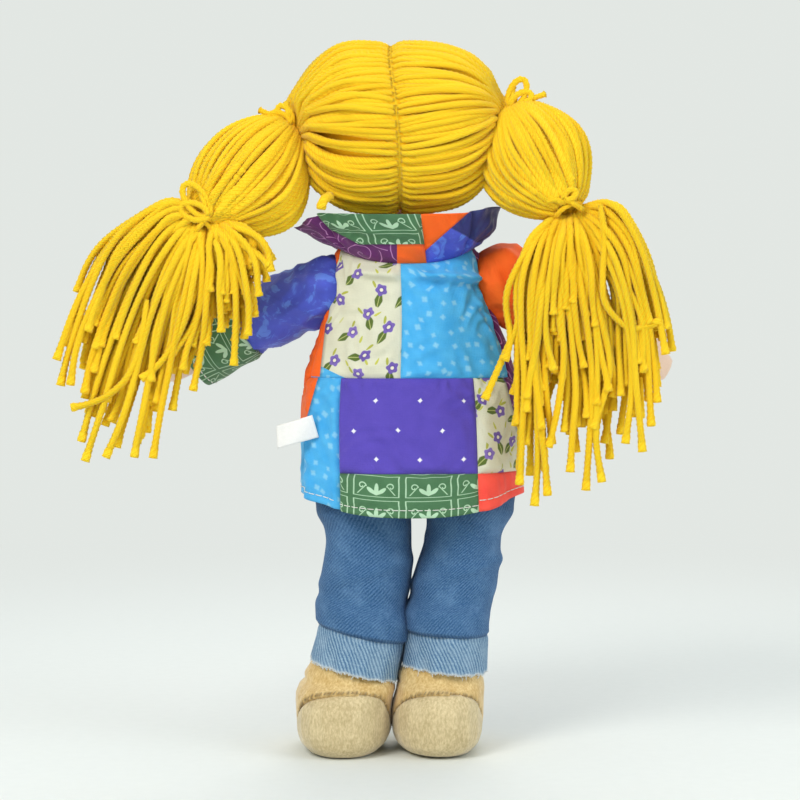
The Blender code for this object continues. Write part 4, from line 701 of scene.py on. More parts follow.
def denim_finish(name, base, light, slant, pitch=0.20, contrast=0.5, twill=0.24):
    """Twill: slanted light threads broken into flecks, with worn places, and painted shade where
    the mesh asks for it.
    """
    net = Net(name, 0.88, Sheen_Weight=0.08, Specular_IOR_Level=0.2)
    u, v, _ = net.parts(net.flat())
    wobble = (net.noise(net.flat(), 2.2, 2.0) - 0.5) * 0.05
    d = u * cos(slant) + v * sin(slant) + wobble
    along = u * -sin(slant) + v * cos(slant)
    ridge = net.sin(d * (tau / pitch))
    dashes = net.noise(net.join(d * 16.0, along * 7.0), 1.0, 2.0, 0.7)
    fleck = net.noise(net.flat(), 17.0, 3.0, 0.7)
    thread = ridge * twill + ((dashes - 0.5) * 1.5 + (fleck - 0.5) * 1.7)
    worn = net.noise(net.flat(), 0.75, 3.0, 0.6)
    colour = net.mix(net.step(thread, -0.6, 0.9) * contrast, base, light)
    colour = net.mix(net.step(worn, 0.42, 0.72) * 0.28, colour, light)
    # The same denim in painted shade, laid on by a value that the mesh carries
    dark = net.mix(0.55, colour, (0.012, 0.03, 0.075))
    colour = net.mix(net.value("dark"), colour, dark)
    colour = net.mix(net.value("pale"), colour, (0.80, 0.84, 0.84))
    net.bump(ridge * 0.35 + fleck * 0.5, 0.00025, 0.8)
    return net.colour(colour)


def velour_finish(name, low, high):
    """Short crushed nap, with fine upright marks, and painted shade where the mesh asks for it."""
    net = Net(name, 0.95, Sheen_Weight=0.45, Sheen_Roughness=0.45, Specular_IOR_Level=0.15)
    rest = net.rest()
    marks = net.noise(net.placed(rest, scale=(1.0, 1.0, 0.42)), 1000.0, 3.0, 0.7)
    clouds = net.noise(rest, 95.0, 3.0, 0.6)
    tone = (marks - 0.5) * 1.6 + (clouds - 0.5) * 0.8
    colour = net.mix(net.step(tone + 0.5, 0.0, 1.0), low, high)
    # Painted shade along the sole seam, by a value that the mesh carries
    colour = net.mix(net.value("dark"), colour, (0.20, 0.12, 0.045))
    net.bump(marks + clouds * 1.5, 0.0005, 0.5)
    return net.colour(colour)


def skin_finish():
    """Peach knit with a warm flush where the mesh says so."""
    net = Net("skin_cloth", 0.8, Sheen_Weight=0.35, Specular_IOR_Level=0.2)
    rest = net.rest()
    knit = net.noise(net.placed(rest, scale=(1.0, 1.0, 2.2)), 1300.0, 1.0)
    soft = net.noise(rest, 60.0, 2.0)
    colour = net.mix(soft, (0.84, 0.60, 0.46), (0.90, 0.68, 0.54))
    colour = net.mix(net.value("flush") * 0.75, colour, (0.83, 0.25, 0.22))
    colour = net.mix(net.step(knit, 0.55, 0.35) * 0.16, colour, (0.6, 0.36, 0.26))
    net.bump(knit, 0.0003, 0.5)
    return net.colour(colour)


def thread_finish(name, low, high, roughness=0.7):
    net = Net(name, roughness, Sheen_Weight=0.2)
    net.bump(net.noise(net.rest(), 1800.0, 1.0), 0.0002, 0.6)
    return net.colour(net.mix(net.noise(net.rest(), 700.0, 2.0), low, high))


def button_finish():
    """Dark glossy plastic."""
    net = Net("button", 0.25, Coat_Weight=0.5, Coat_Roughness=0.1)
    place = net.read("ShaderNodeTexCoord", output="Object")
    net.bump(net.noise(place, 900.0, 2.0), 0.0001, 0.3)
    return net.colour(net.mix(net.noise(place, 300.0), (0.008, 0.012, 0.03), (0.03, 0.045, 0.1)))


GOLD = yarn_finish()
SKIN = skin_finish()
PRINT = {
    "floral": cloth("floral_cotton", paint_floral),
    "back_floral": cloth("back_floral_cotton", paint_back_floral),
    "sky": cloth("sky_cotton", paint_sky),
    "violet": cloth("violet_cotton", paint_violet, mottle=0.07),
    "green": cloth("green_cotton", paint_green),
    "purple": cloth("purple_cotton", paint_purple),
    "indigo": cloth("indigo_cotton", paint_indigo, 0.55, sheen=0.12),
    "orange": cloth("orange_satin", paint_orange, 0.75, 0.16, 0.03),
    "coral": cloth("coral_cotton", paint_coral),
    "strip_sky": cloth("strip_sky_cotton", paint_strip_sky),
    "strip_floral": cloth("strip_floral_cotton", paint_strip_floral),
    "collar_green": cloth("collar_green_cotton", paint_collar_green),
    "collar_orange": cloth("collar_orange_satin", paint_collar_orange, 0.75, 0.16, 0.03),
    "collar_indigo": cloth("collar_indigo_cotton", paint_collar_indigo, 0.55, sheen=0.12),
}
DENIM = denim_finish("denim", (0.018, 0.078, 0.205), (0.185, 0.35, 0.59), radians(138), 0.125,
                     0.66, 0.2)
REVERSE = denim_finish("denim_reverse", (0.062, 0.16, 0.305), (0.5, 0.66, 0.78), radians(38),
                       0.15, 0.7, 0.4)
STITCH = thread_finish("stitch_thread", (0.72, 0.72, 0.66), (0.92, 0.92, 0.86))
FRAY = thread_finish("frayed_thread", (0.62, 0.68, 0.74), (0.92, 0.93, 0.92))
VELOUR = velour_finish("velour", (0.50, 0.385, 0.195), (0.80, 0.66, 0.40))
VELOUR_TOP = velour_finish("velour_top", (0.56, 0.34, 0.10), (0.86, 0.66, 0.33))
TAG = thread_finish("tag_satin", (0.82, 0.82, 0.82), (0.93, 0.93, 0.92), 0.45)
FELT = thread_finish("nose_felt", (0.72, 0.22, 0.16), (0.86, 0.33, 0.25), 0.95)
MOUTH = thread_finish("mouth_thread", (0.45, 0.05, 0.06), (0.72, 0.13, 0.12))
BROW = thread_finish("brow_thread", (0.30, 0.15, 0.03), (0.46, 0.25, 0.06))
SHOE_THREAD = thread_finish("shoe_thread", (0.30, 0.19, 0.07), (0.50, 0.36, 0.17))
BUTTON = button_finish()


# ---- pieces, from the solids ----

def dress(made, body, slot, *nodes):
    """Hide the solids that a piece replaces and hang it on the body that it rides; slot is not
    used.
    """
    if nodes:
        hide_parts(*nodes)
    if body:
        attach(made, body)
    return made


def as_sheet(made, sizes, held, *rests):
    """Round the cloth's flat area, at most its width times its length; the result is not kept."""
    width, length, area = sizes
    round(min(area, width * length), 6)


def stuffed(node, name, finish, body, slot, voxel=0.0012, rounds=6, swell=0.0004, flat=None,
            bumps=0.0, reshape=None, values=None):
    """A soft closed form over a solid: its mesh remeshed fine, rounded and filled out."""
    source = link(name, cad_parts[node].data.copy())
    source.data.materials.clear()
    remesh = source.modifiers.new("remesh", "REMESH")
    remesh.mode = "VOXEL"
    remesh.voxel_size = voxel
    smooth = source.modifiers.new("smooth", "SMOOTH")
    smooth.iterations = rounds
    smooth.factor = 0.5
    graph = bpy.context.evaluated_depsgraph_get()
    mesh = bpy.data.meshes.new_from_object(source.evaluated_get(graph), depsgraph=graph)
    bpy.data.objects.remove(source)
    verts, normals = np.zeros(len(mesh.vertices) * 3), np.zeros(len(mesh.vertices) * 3)
    mesh.vertices.foreach_get("co", verts)
    mesh.vertices.foreach_get("normal", normals)
    verts, normals = verts.reshape(-1, 3), normals.reshape(-1, 3)
    p = verts * 90
    lumps = np.sin(p[:, 0] + 2.1 * np.sin(p[:, 2] * 0.7)) * np.sin(p[:, 1] * 1.3 + p[:, 2] * 0.8)
    verts = verts + normals * (swell + bumps * lumps)[:, None]
    if reshape:
        verts = reshape(verts)
    faces = [tuple(p.vertices) for p in mesh.polygons]
    made = make(name, verts, faces, finish, flat(verts) if flat else None,
                values(verts) if values else None)
    bpy.data.meshes.remove(mesh)
    dress(made, body, slot, node)
    return made


def front_flat(verts):
    return np.stack([verts[:, 0], verts[:, 2]], 1) * 100


# ---- head and face ----

EYE_X, EYE_RISE, EYE_RADIUS = 0.0150, 0.0050, 0.0044
CHEEK_X, CHEEK_Z, CHEEK_RADIUS = 0.0235, HEAD_Z - 0.0085, 0.0062
MOUTH_HALF, MOUTH_RISE, MOUTH_CURVE = 0.0105, -0.0145, 0.0042
BROW_IN, BROW_OUT, BROW_RISE, BROW_ARCH = 0.0095, 0.0205, 0.0128, 0.0022


def head_point(around, across, side, proud):
    low = max(0.0, -sin(around)) * cos(across)
    width = HEAD[0] * (1 + 0.045 * low * (1 - low) * 4) + proud
    depth = HEAD[1] * (1 - 0.10 * low * low * max(0.0, cos(across) * cos(around))) + proud
    return np.array([side * width * sin(across), depth * cos(across) * cos(around),
                     HEAD_Z + (HEAD[2] + proud) * cos(across) * sin(around)])


def head_at(x, rise, proud):
    """The face's surface at a sideways and upward place."""
    across = asin(min(1, abs(x) / HEAD[0]))
    around = asin(max(-1, min(1, rise / (HEAD[2] * cos(across)))))
    return head_point(around, across, copysign(1, x) if x else 1, proud) + SHIFT


def make_head():
    rings, columns = 73, 96
    verts = []
    for across in pi * np.arange(rings) / (rings - 1) - pi / 2:
        verts += [head_point(tau * k / columns, abs(across), copysign(1, across), 0.0) + SHIFT
                  for k in range(columns)]
    verts = np.array(verts)
    local = verts - SHIFT
    flush = [np.exp(-(np.hypot(local[:, 0] - x, local[:, 2] - CHEEK_Z) / CHEEK_RADIUS)**2)
             * (local[:, 1] > 0) for x in (-CHEEK_X, CHEEK_X)]
    made = face_out(make("head_skin", verts, tube_faces(rings, columns), SKIN, None,
                         {"flush": np.clip(flush[0] + flush[1], 0, 1)}))
    dress(made, "head", "skin_cloth", "head")


def face_thread(name, points, radius, finish, *nodes):
    path = spline([head_at(x, rise, 0.0006) for x, rise in points], 40)
    dress(yarn(name, [(path, radius, FORWARD)], finish, 8, 0.0005, 0.0022), "head",
          "mouth_thread", *nodes)


def make_face():
    face_thread("mouth_stitched", [(x, MOUTH_RISE + MOUTH_CURVE * (x / MOUTH_HALF)**2)
                                   for x in np.linspace(-MOUTH_HALF, MOUTH_HALF, 9)],
                0.0009, MOUTH, "mouth")
    for side in (-1, 1):
        word = WORD[side]
        face_thread(word + "_brow",
                    [(side * x, BROW_RISE + BROW_ARCH * sin(pi * (x - BROW_IN) / 0.012))
                     for x in np.linspace(BROW_IN, BROW_OUT, 6)], 0.0006, BROW)
        lashes = []
        for k in range(3):
            angle = radians(38 + 24 * k)
            root, tip = (head_at(side * (EYE_X + wide * cos(a)), EYE_RISE + tall * sin(a), 0.0005)
                         for wide, tall, a in ((EYE_RADIUS, EYE_RADIUS, angle),
                                               (0.0078, 0.0070, angle - 0.12)))
            lashes.append((np.linspace(root, tip, 6), 0.00042, FORWARD))
        dress(yarn(word + "_lashes", lashes, BROW, 6, 0.0005, 0.0015), "head", "mouth_thread")
        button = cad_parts[word + "_eye"]
        button.data.materials.clear()
        button.data.materials.append(BUTTON)
        low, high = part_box(word + "_eye")
        middle = np.array([(low.x + high.x) / 2, high.y, (low.z + high.z) / 2])
        cross = []
        for turn in (pi / 4, -pi / 4):
            arm = np.array([cos(turn), 0, sin(turn)]) * 0.0013
            sunk, raised = np.array([0, 0.0006, 0]), np.array([0, 0.0002, 0])
            cross.append((spline([middle - arm - sunk, middle + raised, middle + arm - sunk], 12),
                          0.00033, FORWARD))
        dress(yarn(word + "_eye_thread", cross, STITCH, 6, 0.0003, 0.0012), "head", "button")
    stuffed("nose", "nose_pad", FELT, "head", "nose_felt", 0.0004, 4, 0.0001)
    stuffed("neck", "neck_pad", SKIN, "neck", "skin_cloth", 0.0010, 3, 0.0)


make_head()
make_face()


# ---- yarn hair ----

CAP_STRANDS = 47
CAP_SWEEP = 201
HAIR_SIDE = (0.1, 1, 0.1)
CAP_SIDE = (0.3, 1, 0.2)
LOOSE_END = ((330, 196, -0.030), (325, 199, -0.034), (322, 204, -0.036), (321, 209, -0.0365))
BALL_BROAD, BALL_DEEP, BALL_TIED, BALL_INSET = 0.0245, 0.0200, 0.0034, 0.0018


def parting(share):
    """How far the parting wanders sideways, as an angle across the head, front to back."""
    turn = -0.105 * (1 - ease((share - 0.35) / 0.50)) + 0.03 * ease((share - 0.8) / 0.2)
    return float(turn) * sin(pi * min(1, share * 1.15))**0.5


def cap_strand(k, layer, side, tie, proud):
    """One strand's path, from the parting over the head to the tie."""
    tie_dir = unit((tie - HEAD_MIDDLE) / HEAD)
    share = (k + (0.5 if layer else 0.0) + rng.uniform(-0.30, 0.30)) / (CAP_STRANDS - 1)
    share = min(1, max(0, share + 0.006 * sin(k * 0.9)))
    around = radians(44 + CAP_SWEEP * share)
    begin = side * parting(share) + radians(1.15)
    start = head_point(around, abs(begin), side * copysign(1, begin), 0.0)
    start = unit((start - HEAD_MIDDLE) / HEAD)
    angle = acos(np.clip(np.dot(start, tie_dir), -1, 1))
    lean = rng.uniform(-0.17, 0.17)
    wave, phase = rng.uniform(0.2, 1.0), rng.uniform(0, tau)
    low = max(0, sin(around - pi))
    kept = []
    for i, t in enumerate(np.linspace(0, 1, 17)):
        d = (sin((1 - t) * angle) * start + sin(t * angle) * tie_dir) / sin(angle)
        sag = (-0.45 * low**1.5 * sin(pi * min(1, t * 1.05)) + 0.35 * lean * sin(pi * t)
               + 0.018 * wave * sin(5 * t + phase) * sin(pi * t))
        d = unit(d + np.array([0, 0, sag]))
        upper = ease((d[2] + 0.05) / 0.3) if side < 0 else 0.0
        level = proud + 0.0010 * sin(k * 2.4 + 3 * t) * sin(pi * t)
        level += 0.0050 * (1 - upper) * sin(pi * t**1.5)**1.6
        level += upper * 0.0066 * ease(t / 0.40) * (1 - ease((t - 0.78) / 0.22))
        level += ease((t - 0.60) / 0.4) * (0.0008 + 0.0022 * ((k * 7) % 3) / 2)
        level -= 0.0018 * hill(t, 0.03)
        p = HEAD_MIDDLE + d * (HEAD + level)
        if abs(p[0]) < abs(tie[0]) - 0.0075 or (side < 0 and p[2] > tie[2] + 0.010 and i < 15):
            kept.append(p)
    ring = np.array([0.0, cos(tau * share) * 0.0042, sin(tau * share) * 0.0042])
    kept += [tie - (side * 0.0030, 0, 0) + ring * 1.25, tie + (side * 0.0004, 0, 0) + ring * 0.85]
    return spline(kept, 60) + SHIFT


def cap_strands(side):
    """Strands over the head, over a second layer that fills the gaps."""
    tie = np.array(TIES[side][0])
    out = []
    for layer, proud, thick in ((0, 0.0022, YARN_RADIUS), (1, 0.0004, YARN_RADIUS * 1.30)):
        for k in range(CAP_STRANDS - layer):
            out.append((cap_strand(k, layer, side, tie, proud),
                        lambda s, thick=thick: thick * (1 - 0.12 * (1 - ease(s / 0.06))
                                                        - 0.40 * ease((s - 0.70) / 0.30)),
                        CAP_SIDE))
    if side < 0:
        out.append((spline([seen(*q) for q in LOOSE_END], 20), YARN_RADIUS * 1.45, CAP_SIDE))
    return out


def frame_of(axis):
    """Two directions square to an axis, the first as level as can be."""
    axis = unit(axis)
    flat = unit(np.cross(axis, (0, 1.0, 0.02)))
    return axis, flat, unit(np.cross(axis, flat))


def ball_strands(side):
    """Three layers of strands that bulge between the two ties, fuller below."""
    upper, lower = (np.array(p) for p in TIES[side])
    axis, broad, deep = frame_of(lower - upper)
    reach = np.linalg.norm(lower - upper)
    out = []
    low_side = unit(np.array([-side, 0, -1.1]))
    sag = 0.30 if side < 0 else 0.22
    for number, fullness in ((45, 1.0), (44, 0.91), (30, 0.78)):
        thick = YARN_RADIUS * (1.0 if fullness == 1.0 else 1.2)
        for k in range(number):
            turn = tau * (k + rng.uniform(-0.2, 0.2)) / number
            full = fullness * (1.0 - 0.036 * (k % 2) - rng.uniform(0, 0.008))
            drift = rng.uniform(-0.13, 0.13)
            points = []
            for t in np.linspace(0.015, 0.985, 17):
                swell = sin(pi * t)**0.62
                wide, high = (BALL_TIED + (size - BALL_INSET - BALL_TIED) * swell * full
                              for size in (BALL_BROAD, BALL_DEEP))
                a = turn + drift * sin(pi * t)
                facing = float(np.dot(broad * cos(a), low_side))
                wide *= 1 + sag * max(0.0, facing) * sin(pi * t**1.25)
                points.append(upper + axis * (reach * t) + broad * cos(a) * wide
                              + deep * sin(a) * high)
            path = spline(points, 60) + wander(60, 0.0006, 3) + SHIFT
            out.append((path, lambda s, thick=thick: thick * (1 - 0.35 * (1 - ease(s / 0.12))
                                                              - 0.35 * ease((s - 0.88) / 0.12)),
                        axis + 0.3))
    return out


GUIDE_POINTS = 24
TUFT_TIP_Y = -0.0390
# For each tuft, the strands in the photograph, as columns and rows of their pixels
TUFT_GUIDES = {
    -1: (((202, 216), (172, 203), (143, 214), (113, 243), (89, 289), (70, 348), (60, 386)),
         ((202, 217), (175, 209), (148, 223), (120, 254), (97, 303), (80, 350), (72, 388)),
         ((202, 218), (178, 215), (152, 234), (126, 270), (105, 320), (92, 360), (85, 391)),
         ((203, 219), (180, 221), (156, 245), (133, 285), (112, 335), (92, 392), (77, 440)),
         ((203, 220), (184, 228), (162, 258), (142, 300), (122, 352), (103, 412), (86, 462)),
         ((204, 221), (188, 235), (170, 268), (152, 312), (136, 362), (120, 412), (104, 455)),
         ((205, 222), (192, 240), (178, 275), (164, 320), (152, 372), (143, 422), (135, 460)),
         ((206, 223), (197, 244), (187, 280), (177, 325), (169, 375), (161, 420), (155, 458)),
         ((206, 224), (201, 246), (194, 280), (184, 318), (170, 348), (156, 368), (144, 378)),
         ((208, 224), (209, 248), (208, 282), (204, 318), (199, 352), (193, 388)),
         ((210, 223), (216, 245), (220, 270), (222, 300), (222, 332)),
         ((211, 222), (222, 240), (231, 270), (234, 312), (231, 362)),
         ((212, 222), (227, 236), (240, 262), (248, 298), (248, 336)),
         ((213, 221), (232, 231), (248, 247), (258, 270), (260, 297)),
         ((214, 220), (238, 228), (256, 238), (266, 254), (270, 273))),
    1: (((556, 214), (530, 241), (517, 273), (516, 301), (517, 325), (503, 355), (483, 399)),
        ((558, 214), (536, 240), (523, 275), (521, 320), (525, 380), (523, 430), (518, 484)),
        ((560, 215), (540, 245), (530, 287), (530, 342), (535, 400), (536, 452), (533, 505)),
        ((561, 216), (548, 245), (540, 280), (534, 320), (528, 358)),
        ((562, 216), (547, 250), (539, 297), (538, 352), (540, 408), (543, 455), (547, 497)),
        ((563, 216), (554, 250), (547, 300), (547, 340), (552, 372)),
        ((566, 217), (561, 260), (562, 310), (565, 352), (558, 400), (548, 447)),
        ((566, 216), (560, 245), (556, 280), (555, 318)),
        ((569, 217), (566, 270), (570, 330), (574, 390), (570, 440), (567, 476)),
        ((571, 214), (568, 240), (567, 275), (570, 311)),
        ((570, 216), (571, 260), (573, 300), (578, 340), (586, 368)),
        ((572, 216), (578, 260), (587, 320), (591, 380), (588, 440), (586, 488)),
        ((573, 214), (583, 235), (590, 270), (593, 300), (597, 329)),
        ((574, 216), (585, 260), (597, 320), (601, 380), (600, 440), (603, 485)),
        ((573, 216), (586, 255), (602, 310), (609, 360), (603, 395), (593, 426)),
        ((576, 214), (596, 245), (615, 290), (626, 340), (629, 395), (626, 446)),
        ((578, 213), (602, 235), (622, 280), (636, 330), (640, 390), (644, 452)),
        ((580, 212), (606, 228), (628, 270), (642, 320), (646, 375), (650, 424)),
        ((582, 210), (608, 219), (634, 253), (648, 303), (654, 355), (658, 403)),
        ((580, 207), (605, 205), (624, 221), (642, 253), (656, 300), (666, 354))),
}
TUFT_STRAY = {-1: ((150, 300), (142, 340), (128, 375), (108, 395), (88, 404), (70, 408)),
              1: ((598, 206), (604, 240), (603, 275), (606, 304), (628, 327), (650, 326),
                  (661, 320))}
# For each layer behind them: its depth, its number of strands and how far down they reach
TUFT_LAYERS = ((-0.0058, 34, 0.96), (-0.0034, 38, 0.93), (-0.0004, 38, 0.92), (0.0034, 34, 0.94),
               (0.0074, 30, 0.98))


def blunt(s):
    """A strand's radius, thin at its root and thick at its cut end."""
    return YARN_RADIUS * (1.06 - 0.36 * (1 - ease(s / 0.08)) + 0.26 * ease((s - 0.92) / 0.08))


def tuft_strands(side):
    """The strands that the photograph shows, and fuller layers of like ones behind them."""
    base = np.array(TIES[side][1])
    guides = [spline(np.array([(*p, 0) for p in g], float), GUIDE_POINTS)[:, :2]
              for g in TUFT_GUIDES[side]]
    out = []

    def place(line, depth, bulge):
        points = []
        for s, (column, row) in zip(np.arange(len(line)) / (len(line) - 1), line):
            y = base[1] + (TUFT_TIP_Y - base[1]) * s + depth * ease(s / 0.30)
            points.append(seen(column, row, y - bulge * sin(pi * min(1, s * 1.2))))
        return np.array(points)

    for k, g in enumerate(guides):
        path = place(g, -0.0072 - 0.0018 * ((k * 5) % 3) / 2, 0.0022)
        out.append((spline(path + wander(GUIDE_POINTS, 0.0009, 3), 60), blunt, HAIR_SIDE))
    last = len(guides) - 1
    for layer, number, lower in TUFT_LAYERS:
        for k in range(number):
            where = np.clip((k + 0.5 + rng.uniform(-0.35, 0.35)) / number, 0, 1) * last
            i = min(int(where), last - 1)
            f = where - i
            between = guides[i] * (1 - f) + guides[i + 1] * f
            cut = rng.uniform(0.72, 1.0) * lower
            short = between[:max(8, int(GUIDE_POINTS * cut))]
            path = place(short, layer + 0.0011 * (k % 3 - 1), 0.0015)
            path = path + wander(len(short), 0.0021, 3)
            tail = ease((np.linspace(0, 1, len(short)) - 0.45) / 0.55)[:, None]
            path = path + tail * np.array([rng.uniform(-0.0045, 0.0045), 0,
                                           rng.uniform(-0.001, 0.002)])
            out.append((spline(path, 50), blunt, HAIR_SIDE))
    path = place(np.array(TUFT_STRAY[side], float), -0.0125, 0.0)
    path[:, 1] = base[1] + SHIFT[1] - 0.0118
    out.append((spline(path, 60), blunt, HAIR_SIDE))
    return out


BOWS = {(-1, 0): (((-0.0052, 0.0084), (-0.0098, 0.0040)), ((-0.0145, 0.0066), (-0.0020, 0.0100))),
        (1, 0): (((0.0058, 0.0128), (0.0092, 0.0062)), ((0.0160, 0.0060), (0.0010, 0.0090))),
        (-1, 1): (((-0.0110, 0.0142), (-0.0135, 0.0036)), ((-0.0070, -0.0080), (-0.0040, 0.0130))),
        (1, 1): (((-0.0058, 0.0026), (0.0056, 0.0034)), ((-0.0100, -0.0010), (0.0080, -0.0040)))}
KNOT_RADIUS = 0.0013


def tie_strands(side, which):
    """Two turns of yarn round the bundle, a knot, two bow loops and two loose ends."""
    here = np.array(TIES[side][which])
    upper, lower = (np.array(p) for p in TIES[side])
    axis, broad, deep = frame_of(lower - upper if which else (1.0 * side, 0, -0.1))
    if deep[1] > 0:
        broad, deep = -broad, -deep
    out = []
    for place, radius in ((-0.0014, 0.0060), (0.0014, 0.0062)):
        turn = np.linspace(0, tau * 1.02, 40)[:, None]
        ring = (here + axis * (place + 0.0004 * np.sin(turn)) + broad * np.cos(turn) * radius
                + deep * np.sin(turn) * radius)
        out.append((ring + SHIFT, 0.00135, axis))
    knot = here + deep * 0.0070 + np.array([0, 0, 0.0010])
    turn = np.linspace(0, tau * 0.98, 24)
    out.append((knot + np.outer(np.cos(turn), axis) * KNOT_RADIUS
                + np.outer(np.sin(turn), broad) * KNOT_RADIUS + deep * 0.0004 + SHIFT,
                0.0014, deep))
    loops, ends = BOWS[(side, which)]
    for k, (dx, dz) in enumerate(loops):
        way = np.array([dx, -0.0010, dz])
        wide = 0.22 * np.linalg.norm(way) + 0.0006
        across = unit(np.cross(way, FORWARD))
        loop = [knot + way * 0.5 * (1 - cos(t)) + across * sin(t) * wide
                + deep * (0.0010 + 0.0012 * sin(t / 2) + 0.0008 * k)
                + np.array([0, 0.0030 * (0.5 - 0.5 * cos(t)), 0]) for t in np.linspace(0, tau, 26)]
        out.append((np.array(loop) + SHIFT, 0.00166, HAIR_SIDE))
    for dx, dz in ends:
        end = knot + np.array([dx, 0.0015, dz])
        path = spline([knot, knot * 0.55 + end * 0.45 + deep * 0.0022, end], 20)
        out.append((path + SHIFT, lambda s: 0.00150 * (1 + 0.25 * ease((s - 0.9) / 0.1)),
                    HAIR_SIDE))
    return out


def make_hair():
    for side in (-1, 1):
        word = WORD[side]
        for name, strands, body, node in (
                ("_cap_yarn", cap_strands(side), "head", "_hair_cap"),
                ("_ball_yarn", ball_strands(side), word + "_pigtail", "_pigtail_ball"),
                ("_tuft_yarn", tuft_strands(side), word + "_tuft", "_hair_tuft"),
                ("_upper_bow", tie_strands(side, 0), word + "_pigtail", "_upper_tie"),
                ("_lower_bow", tie_strands(side, 1), word + "_tuft", "_lower_tie")):
            dress(yarn(word + name, strands, GOLD, fuzz=560), body, "golden_yarn", word + node)
        columns, rows = 28, 40
        shell, under = (np.array([[head_point(radians(42 + CAP_SWEEP * r / (rows - 1)),
                                              radians(84 * c / (columns - 1)), side, proud)
                                   + SHIFT for r in range(rows)] for c in range(columns)])
                        for proud in (0.0009, 0.0002))
        # The lining gets the grooves' painted shade and the lowest strand tone
        nought = np.zeros((columns, rows))
        dress(slab(word + "_cap_lining", shell, under, GOLD, shell[..., :2] * 0,
                   {"painted_ply_light": nought, "shade": nought}), "head", "golden_yarn")
    seam = np.array([head_point(radians(43 + 199 * k / 60), abs(parting(k / 60)),
                                copysign(1, parting(k / 60)), 0.0002) for k in range(61)])
    stitches = []
    for middle in seam[1:60:2]:
        out = unit(middle - HEAD_MIDDLE)
        stitches.append((spline([middle + (-0.0022, 0, 0) + out * 0.0004, middle + out * 0.0010,
                                 middle + (0.0022, 0, 0) + out * 0.0004], 8) + SHIFT,
                         0.00040, (0, 0.3, 1)))
    stitches.append((seam + SHIFT, 0.0011, (1, 0, 0)))
    dress(yarn("parting_stitches", stitches, GOLD, 6, 0.0008, 0.003), "head", "golden_yarn",
          "parting_seam")


make_hair()


# ---- jacket ----

def smooth_between(stations, place):
    """Values read from a smooth curve through stations, each a place and its values."""
    stations = sorted(stations)
    place = min(max(place, stations[0][0]), stations[-1][0])
    i = 0
    while i < len(stations) - 2 and place > stations[i + 1][0]:
        i += 1
    a, b = stations[i], stations[i + 1]
    before, after = stations[max(i - 1, 0)], stations[min(i + 2, len(stations) - 1)]
    span = b[0] - a[0]
    t = (place - a[0]) / span
    values = []
    for k in range(1, len(a)):
        slope_a = (b[k] - before[k]) / (b[0] - before[0]) * span
        slope_b = (after[k] - a[k]) / (after[0] - a[0]) * span
        values.append(a[k] * (2 * t**3 - 3 * t**2 + 1) + slope_a * (t**3 - 2 * t**2 + t)
                      + b[k] * (3 * t**2 - 2 * t**3) + slope_b * (t**3 - t**2))
    return values


def plan_point(angle, half_width, half_depth):
    c, s = cos(angle), sin(angle)
    return (half_width * copysign(abs(c)**(2 / PLAN_POWER), c),
            half_depth * copysign(abs(s)**(2 / PLAN_POWER), s))


def back_angle(share):
    return tau - acos(copysign(abs(share)**1.25, share))


BAND_Z = 0.1358
WAIST_LOW, WAIST_HIGH = 0.1725, 0.1803
COLLAR_TOP, COLLAR_WIDTH, COLLAR_DEPTH, COLLAR_SHIFT = 0.2565, 0.0480, 0.0380, -0.0030
FLAP_TURN = radians(5)
COLLAR_TURN = radians(24)
LEFT_SIDE, RIGHT_SIDE, MIDDLE = back_angle(-0.95), back_angle(0.95), back_angle(-0.09)
LEFT_STRIP, RIGHT_STRIP = back_angle(-0.66), back_angle(0.60)
LEFT_FLAP, RIGHT_FLAP = pi - FLAP_TURN, tau + FLAP_TURN
FRONT, EARLY_FRONT = tau + pi / 2, pi / 2
COLLAR_BORDERS = (EARLY_FRONT + COLLAR_TURN, back_angle(-0.76), back_angle(0.27),
                  back_angle(0.78), FRONT - COLLAR_TURN)
ARMHOLE = 0.0160


def seam_z(angle):
    s = sin(angle)
    return JACKET_TOP - (0.0095 if s > 0 else 0.0075) * s * s


def hem_z(angle):
    return JACKET_HEM + 0.0095 * (1 - sin(angle)**2)


def waist_z(angle):
    behind = sin(FLAP_TURN) - sin(angle)
    full = sin(FLAP_TURN) - sin(RIGHT_SIDE)
    return WAIST_LOW + (WAIST_HIGH - WAIST_LOW) * ease(behind / full)


def band_z(angle):
    return BAND_Z


def collar_z(angle):
    """The collar's upper edge, lower at its left end and higher at its right one."""
    return (COLLAR_TOP + 0.0020 * cos(angle)**2 - 0.0072 * ease((-cos(angle) - 0.60) / 0.4)
            + 0.0026 * ease((cos(angle) - 0.60) / 0.4))


def jacket_point(angle, z, depth):
    width, deep, shift = smooth_between(JACKET_RINGS, z)
    fall = min(1, max(0, (JACKET_TOP - z) / (JACKET_TOP - JACKET_HEM)))
    out = (0.0022 * fall * fall * (0.5 + 0.5 * sin(7 * angle + 0.3 * tau))
           + 0.0008 * hill(JACKET_TOP - 0.0130 - z, 0.0040))
    x, y = plan_point(angle, width + out - depth, deep + out - depth)
    return np.array([shift + x, y, z])


def collar_point(angle, z, depth):
    low = seam_z(angle)
    share = (z - low) / (COLLAR_TOP - low)
    width, deep, shift = smooth_between(JACKET_RINGS, low)
    x, y = plan_point(angle, width + (COLLAR_WIDTH - width) * share - depth,
                      deep + (COLLAR_DEPTH - deep) * share - depth)
    return np.array([shift + (COLLAR_SHIFT - shift) * share + x, y, z])


